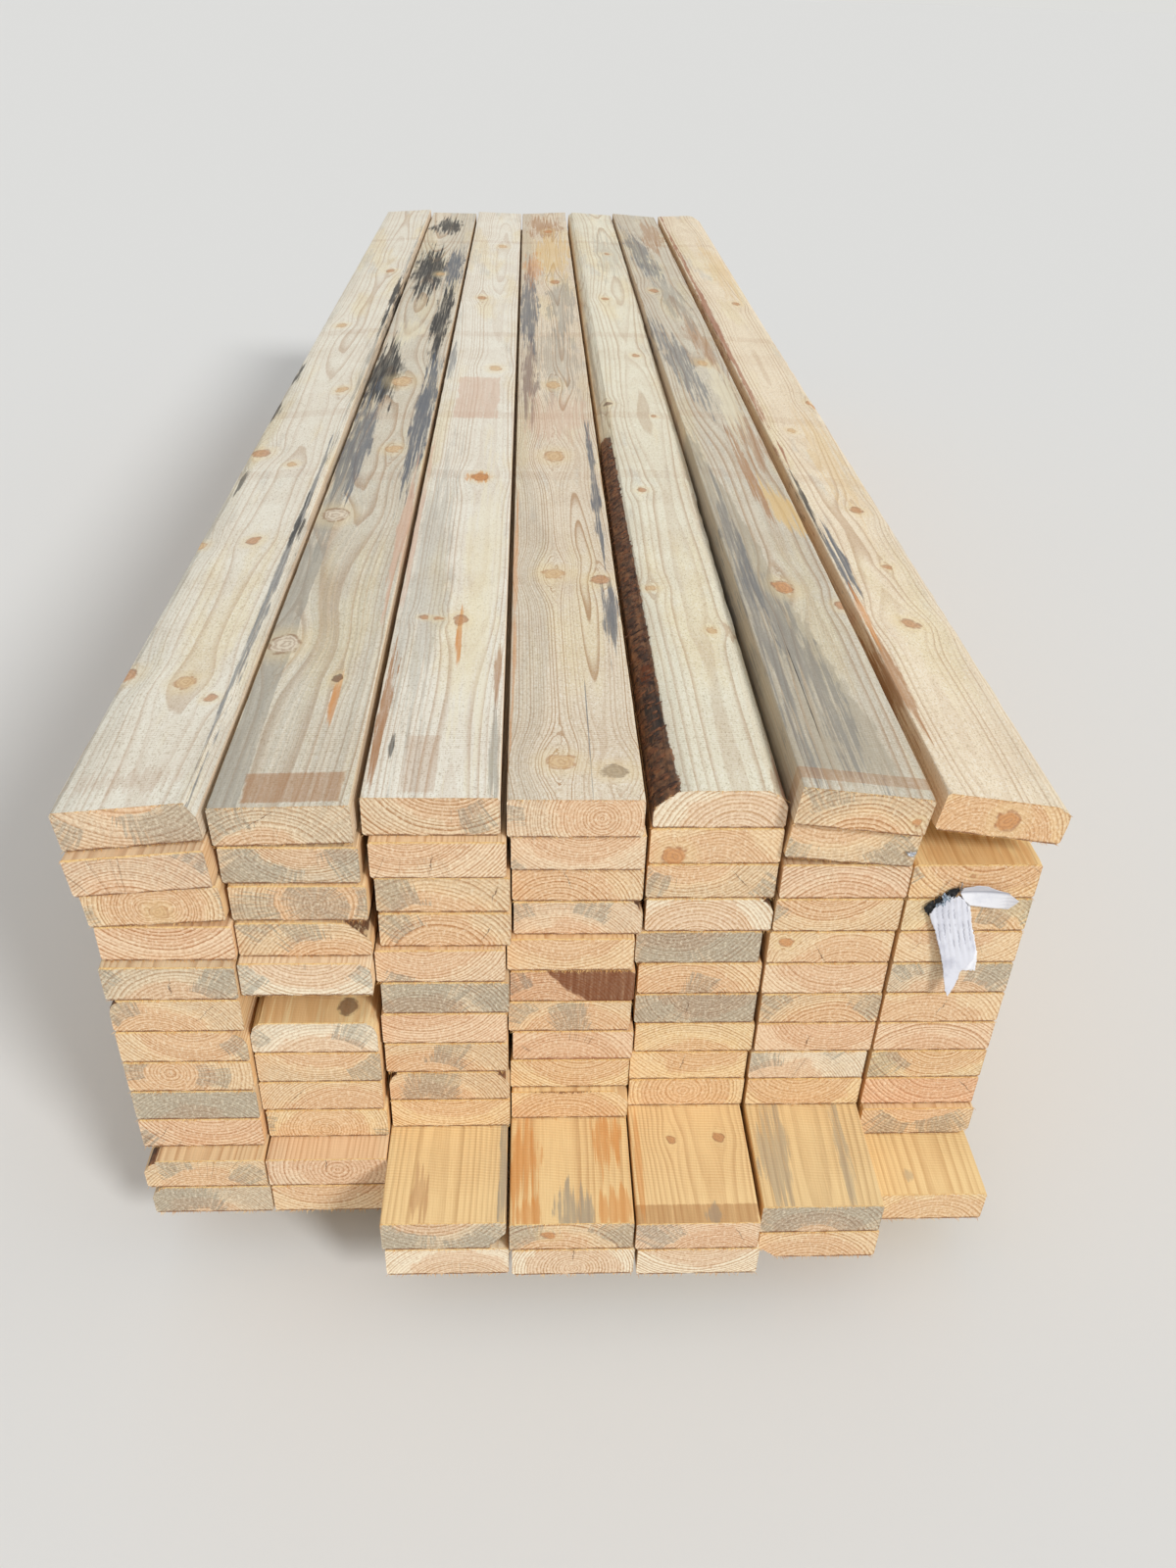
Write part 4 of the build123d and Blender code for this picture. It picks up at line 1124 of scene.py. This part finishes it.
# %% Bark plates
BARK_BOARD = "dressed_top_board_5"
BARK_DENSITY = 9000.0
PLATE_SIZE = 0.0042
BARK_FROM_END = 0.010      # metres from the sawn end, so that no plate reaches past it
BARK_FACES_UP = 0.25       # a face steeper than this is the board's side, in the gap


def first_numbers(mesh, label):
    """The first of the three numbers that each point stores under a label."""
    values = np.zeros(len(mesh.vertices) * 3, dtype=np.float32)
    mesh.attributes[label].data.foreach_get("vector", values)
    return values.reshape(-1, 3)[:, 0]


def bark_strip(name):
    """The faces of a dressed board whose points all lie on bark, at its left edge."""
    source = bpy.data.objects[name].data
    wane = first_numbers(source, "wane")
    across = first_numbers(source, "wood")
    points, faces = [], []
    first_place = min(v.co.y for v in source.vertices) + BARK_FROM_END
    for face in source.polygons:
        on_bark = all(wane[i] > 0.62 and across[i] < 0 for i in face.vertices)
        behind_end = all(source.vertices[i].co.y > first_place for i in face.vertices)
        if on_bark and behind_end and face.normal.z > BARK_FACES_UP:
            faces.append(tuple(range(len(points), len(points) + len(face.vertices))))
            points += [source.vertices[i].co.copy() for i in face.vertices]
    mesh = bpy.data.meshes.new("bark_strip")
    mesh.from_pydata(points, [], faces)
    return mesh


bark_tree, make, entry, leave = geometry_tree("bark plates", ["Density", "Plate Size"])
spread = make.node("GeometryNodeDistributePointsOnFaces", {
    "Mesh": entry["Geometry"], "Density": entry["Density"], "Seed": 5,
}).outputs
plate = make.node("GeometryNodeMeshIcoSphere", {"Radius": entry["Plate Size"], "Subdivisions": 1}).outputs[0]
shape = make.node("FunctionNodeRandomValue", {0: (0.5, 0.8, 0.12), 1: (1.1, 2.4, 0.3), "Seed": 8}, data_type="FLOAT_VECTOR")
copies = make.node("GeometryNodeInstanceOnPoints", {
    "Points": spread["Points"], "Instance": plate, "Rotation": spread["Rotation"], "Scale": shape.outputs["Value"],
}).outputs[0]
real = make.node("GeometryNodeRealizeInstances", {0: copies}).outputs[0]
painted = make.node("GeometryNodeSetMaterial", {"Geometry": real, "Material": entry["Material"]}).outputs[0]
send(bark_tree, painted, leave["Geometry"])


def place_material(name, scale, dark, light, roughness, low=0.38, high=0.66):
    """A finish of two colours that change with the place on the piece."""
    material = bpy.data.materials.new(name)
    material.use_nodes = True
    make = Recipe(material.node_tree)
    shader = material.node_tree.nodes["Principled BSDF"]
    place = make.node("ShaderNodeTexCoord", {}).outputs["Object"]
    patches = make.noise(place, scale, 5.0, 0.7)
    colour = make.mix(make.fade(patches, low, high), dark, light)
    material.node_tree.links.new(colour, shader.inputs["Base Color"])
    shader.inputs["Roughness"].default_value = roughness
    bump = make.node("ShaderNodeBump", {"Strength": 0.4, "Distance": 0.0006, "Height": patches})
    material.node_tree.links.new(bump.outputs[0], shader.inputs["Normal"])
    return material


bark_material = place_material("bark", 70.0, shade(52, 34, 28), shade(142, 92, 60), 0.8)
bark = grown("bark_plates", bark_strip(BARK_BOARD), bark_tree, {
    "Density": BARK_DENSITY, "Plate Size": PLATE_SIZE, "Material": bark_material,
})
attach(bark, "root")
print("bark plates:", len(bark.data.polygons), "faces")

# %% [markdown]
# ## Bearers
# The bearers lie in the dark under the stack. They are squared timber that has been used before, so
# their arrises are worn round and their wood has gone grey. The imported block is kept, its edges are
# rounded, and each point is told its place in the bearer so that the same wood recipe can paint it.

# %% Bearers
BEARER_ROUNDING = 0.0022
BEARER_FACTS = {"stain": 0.6, "ring": 0.0042, "heart": 0.06, "tone": shade(176, 156, 128)}
bearer_side = wood_material("bearer_side", False, smudges=[(0, 0, 60, 700, 0.7, 0.4, "grey")], ring_strength=0.7)
bearer_end = wood_material("bearer_end", True, ring_strength=0.8)
for seed, node in enumerate(("front_bearer", "middle_bearer", "back_bearer"), start=1):
    block = bmesh.new()
    block.from_mesh(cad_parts[node].data)
    bmesh.ops.remove_doubles(block, verts=block.verts, dist=1e-6)
    sharp = [edge for edge in block.edges if edge.calc_face_angle(0) > 0.5]
    bmesh.ops.bevel(block, geom=sharp, offset=BEARER_ROUNDING, segments=3, affect="EDGES", profile=0.5)
    bmesh.ops.recalc_face_normals(block, faces=block.faces)
    mesh = bpy.data.meshes.new(f"dressed_{node}")
    block.to_mesh(mesh)
    block.free()
    middle = sum((v.co for v in mesh.vertices), Vector()) / len(mesh.vertices)
    count = len(mesh.vertices)
    write_layers(mesh, {
        "wood": [(v.co.y - middle.y, v.co.x, v.co.z - middle.z) for v in mesh.vertices],
        "wane": [(0.0, BEARER_FACTS["heart"], 0.0)] * count,
        "pith": [(0.008 * seed, 0.0, -0.03)] * count,
        "tone": [BEARER_FACTS["tone"][:3]] * count,
        "facts": [(5.0 * seed, BEARER_FACTS["stain"], BEARER_FACTS["ring"])] * count,
        "patch_a": [(0.02, 0.01, 0.03)] * count, "patch_b": [(0.0, 0.0, 0.0)] * count,
        "crack": [(0.0, 0.01, 0.1)] * count,
    })
    mesh.materials.append(bearer_side)
    mesh.materials.append(bearer_end)
    for face in mesh.polygons:
        face.material_index = 1 if abs(face.normal.x) > 0.9 else 0
    piece = bpy.data.objects.new(f"dressed_{node}", mesh)
    scene.collection.objects.link(piece)
    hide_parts(node)
    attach(piece, "root")
print("bearers dressed")

# %% [markdown]
# ## Paper tag
# The tag is a folded sheet, torn by the weather. One leaf hangs down from the staple and curls out,
# a second sheet shows behind its lower right, and a short leaf points to the right with a fold
# along it. Each leaf is a net of points between a left and a right outline. Long creases push the
# net in and out, and a torn edge is an outline with small steps. A second net close behind closes it.

# %% Sheets of paper
PAPER = 0.0004
SHEET_STEP = 0.0014
LEAF_CURL = 0.85
SIDE_CURL = 0.16


def sheet(name, left, right, out_of_wall, place, turned, material, torn=0.0008, seed=0.0, lines=None):
    """A closed thin sheet between two outlines (across, down), in millimetres, turned by a quarter if asked."""
    left = [in_metres(p) for p in left]
    right = [in_metres(p) for p in right]
    top = max(left[0][1], right[0][1])
    bottom = min(left[-1][1], right[-1][1])
    rows = max(3, round((bottom - top) / SHEET_STEP))
    widest = max(at_level(right, top + (bottom - top) * i / 9) - at_level(left, top + (bottom - top) * i / 9) for i in range(10))
    columns = max(4, round(widest / SHEET_STEP))
    points, crease_shading = [], []
    for back in (0, 1):
        for i in range(rows + 1):
            level = top + (bottom - top) * i / rows
            rip = torn * noise.noise(Vector((level * 300, seed, 0))), torn * noise.noise(Vector((level * 300, seed, 9)))
            start, end = at_level(left, level) + rip[0], at_level(right, level) + rip[1]
            for j in range(columns + 1):
                across = start + (end - start) * j / columns
                fringe = torn * 2 * noise.noise(Vector((across * 400, seed, 3))) if i in (0, rows) else 0
                down = level + fringe
                out = out_of_wall(across, down) + back * PAPER
                u, v = (down, -across) if turned else (across, -down)
                points.append(place + Vector((u, -out, v)))
                # How much painted shade this point gets in the paper's creases and folds
                crease_shading.append((lines(across, down) if lines else 0.0, 0.0, 0.0))
    wide = columns + 1
    layer = wide * (rows + 1)
    faces = []
    for i in range(rows):
        for j in range(columns):
            a, b, c, d = i * wide + j, i * wide + j + 1, (i + 1) * wide + j + 1, (i + 1) * wide + j
            faces += [(a, b, c, d), (layer + d, layer + c, layer + b, layer + a)]
    rim = [j for j in range(wide)] + [i * wide + columns for i in range(1, rows + 1)]
    rim += [rows * wide + j for j in range(columns - 1, -1, -1)] + [i * wide for i in range(rows - 1, 0, -1)]
    for a, b in zip(rim, rim[1:] + rim[:1]):
        faces.append((a, layer + a, layer + b, b))
    mesh = bpy.data.meshes.new(name)
    mesh.from_pydata(points, [], faces)
    fixer = bmesh.new()
    fixer.from_mesh(mesh)
    bmesh.ops.recalc_face_normals(fixer, faces=fixer.faces)
    fixer.to_mesh(mesh)
    fixer.free()
    mesh.polygons.foreach_set("use_smooth", [True] * len(mesh.polygons))
    write_layers(mesh, {"crease_shade": crease_shading})
    mesh.materials.append(material)
    made = bpy.data.objects.new(name, mesh)
    scene.collection.objects.link(made)
    return made


def curl(length, radius):
    return radius - math.sqrt(radius * radius - length * length)


def box_of(node):
    corners = [v.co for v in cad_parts[node].data.vertices]
    low = Vector([min(c[i] for c in corners) for i in range(3)])
    high = Vector([max(c[i] for c in corners) for i in range(3)])
    return low, high


def staple_place(node):
    """Where a staple sits: the middle of its crown, at the back of the paper."""
    low, high = box_of(node)
    return Vector(((low.x + high.x) / 2, high.y, (low.z + high.z) / 2))


def creases(across, down):
    """Long ridges that run down the leaf and lean with it, deepest in its upper two thirds."""
    over = across - LEAF_LEAN * down
    ridges = math.sin(over * 850 + 1.5 * math.sin(down * 45)) + 0.6 * math.sin(over * 1900 + 2.0)
    depth = min(1.0, max(0.0, down / 0.02)) * min(1.0, max(0.0, (0.125 - down) / 0.05))
    return 0.00028 * ridges * depth


def leaf_shade(across, down):
    """How much painted shade the front leaf gets: thin dark lines in the furrows between its creases."""
    start = 0.034 + 0.016 * math.sin(across * 900)
    shown = min(1.0, max(0.0, (down - start) / 0.006)) * min(1.0, max(0.0, (0.105 - down) / 0.02))
    furrow = max(0.0, -creases(across, down) / 0.00028 - 0.8)
    return min(1.0, furrow * 2.0) * shown


def fold_shade(across, down):
    """How much painted shade the side leaf gets: a dark fold, a shaded narrow part above it, thin dark lines near the
    tip.
    """
    below_fold = across - 0.0075 + 0.1 * down
    fold = max(0.0, 1.2 - abs(below_fold) / 0.0025)
    above = 0.42 if below_fold < 0 else 0.0
    near_tip = max(0.0, math.sin(across * 1500 + down * 500) - 0.6) * min(1.0, max(0.0, (down - 0.044) / 0.006))
    return min(1.0, max(fold, above, near_tip))


def hanging(across, down):
    """The front leaf: it curls out, and its right edge is folded back a little."""
    lifted = 0.010 * max(0.0, (across - LEAF_LEAN * down) / 0.02 - 0.35) ** 2
    return curl(max(down, 0.0), LEAF_CURL) + creases(across, down) + 0.0026 + min(lifted, 0.004)


def behind_hanging(across, down):
    return curl(max(down, 0.0), LEAF_CURL) + 0.0004 + 0.0004 * math.sin(across * 700 + down * 160)


def pointing(across, down):
    """The side leaf: its upper part is bent back along a fold that runs its whole length."""
    below_fold = across - 0.0075 + 0.1 * down
    bent = 0.5 * abs(below_fold) if below_fold < 0 else 0.16 * below_fold
    tip = 0.5 * max(0.0, down - 0.052)
    return curl(max(down, 0.0), SIDE_CURL) + 0.0006 + min(bent, 0.006) + tip * 0.4


def crumpled(height, scale):
    """A torn lump: how far each point of a small sheet stands out."""
    def out(across, down):
        spot = Vector((across * scale, down * scale, 0.7))
        return 0.0003 + height * abs(noise.noise(spot) + 0.6 * noise.noise(spot * 2.3))
    return out


def paper(name, dark, light):
    """Paper with painted shade, a cool grey, in its creases and folds."""
    material = place_material(name, 38.0, dark, light, 0.75, 0.3, 0.6)
    make = Recipe(material.node_tree)
    colour = material.node_tree.nodes["Principled BSDF"].inputs["Base Color"]
    grey, nothing, nothing_more = make.split(make.attribute("crease_shade"))
    # Painted shade: a cool grey mixed in wherever the crease shade attribute asks for it
    shaded_colour = make.mix(make.calc("MULTIPLY", grey, 0.8), colour.links[0].from_socket, shade(150, 150, 162))
    material.node_tree.links.new(shaded_colour, colour)
    return material


LEAF_LEAN = 0.26
# The front leaf is a darker lavender-grey copy of the side leaves' paper: painted shade, as it faces away from the
# light
shaded_paper_material = paper("tag_paper", shade(196, 197, 208), shade(222, 223, 231))
side_paper = paper("tag_side_paper", shade(220, 221, 229), shade(240, 240, 244))
torn_black = place_material("torn_backing", 240.0, shade(14, 14, 16), shade(58, 56, 56), 0.55, 0.45, 0.75)
# The small torn lump at the top is paper painted blue-grey: painted shade
shaded_torn_paper = place_material("torn_paper_in_shade", 200.0, shade(120, 138, 158), shade(206, 216, 226), 0.6)
tag_place = staple_place("tag_staple")
hanging_leaf = sheet(
    "dressed_paper_tag",
    [(-7, 13), (-16, 17), (-25, 27), (-31, 39), (-27, 49), (-20, 63), (-15, 77), (-9, 93), (-2, 115), (1, 129),
     (6, 149), (10, 157)],
    [(1, 13), (5, 17), (9, 21), (14, 31), (18, 43), (23, 59), (28, 74), (33, 90), (34, 103), (26, 116),
     (20, 122), (19, 132), (16, 143), (10, 157)],
    hanging, tag_place, False, shaded_paper_material, torn=0.0012, seed=1.0, lines=leaf_shade,
)
second_sheet = sheet(
    "tag_second_sheet",
    [(2, 8), (6, 26), (12, 60), (16, 96), (18, 122)], [(10, 8), (17, 30), (24, 58), (31, 77), (38, 100), (39, 122)],
    behind_hanging, tag_place, False, side_paper, torn=0.0016, seed=2.0,
)
side_leaf = sheet(
    "tag_side_leaf",
    [(-2, 1), (-4, 9), (-7, 15), (-7, 28), (-2, 36), (1, 46), (2, 53), (5, 58), (8, 64)],
    [(9, 1), (18, 6), (25, 14), (25.5, 32), (24.5, 44), (22.5, 55), (15, 60), (8.5, 64)],
    pointing, tag_place, True, side_paper, torn=0.0005, seed=3.0, lines=fold_shade,
)
left_lump = sheet(
    "tag_torn_backing",
    [(-24, 15), (-31, 20), (-38, 28), (-37, 34), (-33, 40)], [(-15, 15), (-19, 21), (-23, 26), (-28, 34), (-31, 40)],
    crumpled(0.007, 260), tag_place, False, torn_black, torn=0.0026, seed=4.0,
)
top_lump = sheet(
    "tag_torn_corner",
    [(-7, 0), (-14, 5), (-17, 12), (-16, 16)], [(-2, 0), (-2, 5), (-3, 11), (-6, 16)],
    crumpled(0.006, 330), tag_place, False, torn_black, torn=0.0024, seed=5.0,
)
# A crumpled bit of paper, painted blue-grey as painted shade
blue_lump = sheet(
    "tag_torn_lining",
    [(-20, 9), (-21, 14), (-22, 20), (-26, 27)], [(-13, 9), (-10, 14), (-15, 20), (-22, 27)],
    crumpled(0.012, 300), tag_place, False, shaded_torn_paper, torn=0.002, seed=7.0,
)
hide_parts("paper_tag")
scrap_material = place_material("torn_scrap", 300.0, shade(158, 164, 174), shade(240, 242, 246), 0.35)
scrap_place = staple_place("scrap_staple")
scrap = sheet(
    "dressed_torn_scrap",
    [(-4, -1.4), (-4.6, 0), (-4, 2.6), (-0.6, 5.4)], [(4.6, -2), (5.4, 0), (4, 2.4), (1, 5.4)],
    crumpled(0.006, 500), scrap_place, False, scrap_material, torn=0.0008, seed=6.0,
)
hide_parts("torn_scrap")
for piece in (hanging_leaf, second_sheet, side_leaf, left_lump, top_lump, blue_lump, scrap):
    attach(piece, "root")
    print(piece.name, len(piece.data.polygons), "faces")

# %% [markdown]
# ## Staples
# A staple is one wire bent twice, so it is drawn as a round tube along a path with short rounded
# bends: into the wood, up along the crown, and back into the wood.

# %% Staples
WIRE_RADIUS = 0.0007
BEND = 0.0016
TUBE_SIDES = 10


def wire_path(node, way):
    """The middle line of a staple's wire from leg to leg; its crown lies along the given way."""
    low, high = box_of(node)
    middle = (low + high) / 2
    y_front = low.y + WIRE_RADIUS
    half_crown = (high - low).dot(way) / 2 - WIRE_RADIUS
    path = [(-half_crown, high.y)]
    turns = [math.radians(a) for a in (0, 30, 60, 90)]
    bend = [(BEND * (1 - math.cos(t)) - half_crown, y_front + BEND * (1 - math.sin(t))) for t in turns]
    path += bend + [(-s, y) for s, y in reversed(bend)] + [(half_crown, high.y)]
    return [Vector((middle.x, y, middle.z)) + way * s for s, y in path]


def tube(name, path, radius, material, way):
    """A round wire along a flat path; the way is the crown's, and lies in the path's plane."""
    points, faces = [], []
    sideways = way.cross(Vector((0, 1, 0)))
    for i, here in enumerate(path):
        along = (path[min(i + 1, len(path) - 1)] - path[max(i - 1, 0)]).normalized()
        other = along.cross(sideways)
        for k in range(TUBE_SIDES):
            turn = 2 * math.pi * k / TUBE_SIDES
            points.append(here + radius * (math.cos(turn) * sideways + math.sin(turn) * other))
    for i in range(len(path) - 1):
        for k in range(TUBE_SIDES):
            m = (k + 1) % TUBE_SIDES
            a, b = i * TUBE_SIDES + k, i * TUBE_SIDES + m
            faces.append((a, b, b + TUBE_SIDES, a + TUBE_SIDES))
    last = (len(path) - 1) * TUBE_SIDES
    faces += [tuple(reversed(range(TUBE_SIDES))), tuple(range(last, last + TUBE_SIDES))]
    mesh = bpy.data.meshes.new(name)
    mesh.from_pydata(points, [], faces)
    fixer = bmesh.new()
    fixer.from_mesh(mesh)
    bmesh.ops.recalc_face_normals(fixer, faces=fixer.faces)
    fixer.to_mesh(mesh)
    fixer.free()
    mesh.polygons.foreach_set("use_smooth", [len(p.vertices) == 4 for p in mesh.polygons])
    mesh.materials.append(material)
    made = bpy.data.objects.new(name, mesh)
    scene.collection.objects.link(made)
    return made


wire_material = place_material("staple_wire", 500.0, shade(150, 152, 156), shade(206, 208, 212), 0.28)
wire_material.node_tree.nodes["Principled BSDF"].inputs["Metallic"].default_value = 1.0
for node, way in (("tag_staple", Vector((0, 0, 1))), ("scrap_staple", Vector((1, 0, 0)))):
    piece = tube(f"dressed_{node}", wire_path(node, way), WIRE_RADIUS, wire_material, way)
    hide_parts(node)
    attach(piece, "root")
print("staples bent")

# %% [markdown]
# ## Light and floor
# The photograph has low sun. Here the same stack stands in a plain studio: a pale floor, an even
# white sky, and one broad soft lamp from the right and behind the camera, which is where the sun
# was. The floor's colour and the sky's meet at the horizon.

# %% Stage
FLOOR_COLOUR = shade(226, 226, 224)
FLOOR_SIZE = 160.0
SKY_LIGHT = 0.62
HORIZON_COLOUR = shade(222, 222, 219)
floor_mesh = bpy.data.meshes.new("floor")
half = FLOOR_SIZE / 2
floor_mesh.from_pydata([(-half, -half, 0), (half, -half, 0), (half, half, 0), (-half, half, 0)], [], [(0, 1, 2, 3)])
floor = bpy.data.objects.new("floor", floor_mesh)
scene.collection.objects.link(floor)
floor_material = bpy.data.materials.new("studio_floor")
floor_material.use_nodes = True
floor_shader = floor_material.node_tree.nodes["Principled BSDF"]
floor_shader.inputs["Base Color"].default_value = FLOOR_COLOUR
floor_shader.inputs["Roughness"].default_value = 0.95
floor_shader.inputs["Specular IOR Level"].default_value = 0.1
floor_mesh.materials.append(floor_material)

world = bpy.data.worlds.new("studio")
scene.world = world
world.use_nodes = True
make = Recipe(world.node_tree)
background = world.node_tree.nodes["Background"]
rays = make.node("ShaderNodeLightPath", {}).outputs
mirrored = make.calc("MAXIMUM", rays["Is Glossy Ray"], rays["Is Transmission Ray"])
seen = make.calc("MAXIMUM", rays["Is Camera Ray"], mirrored)
sky = make.mix(seen, (SKY_LIGHT, SKY_LIGHT, SKY_LIGHT, 1.0), HORIZON_COLOUR)
world.node_tree.links.new(sky, background.inputs["Color"])
background.inputs["Strength"].default_value = 1.0

key_data = bpy.data.lights.new("key", "SUN")
key_data.energy = 1.9
key_data.angle = math.radians(14)
key = bpy.data.objects.new("key", key_data)
key.rotation_euler = Vector((-0.62, 0.70, -0.62)).to_track_quat("-Z", "Y").to_euler()
scene.collection.objects.link(key)
print("stage set")
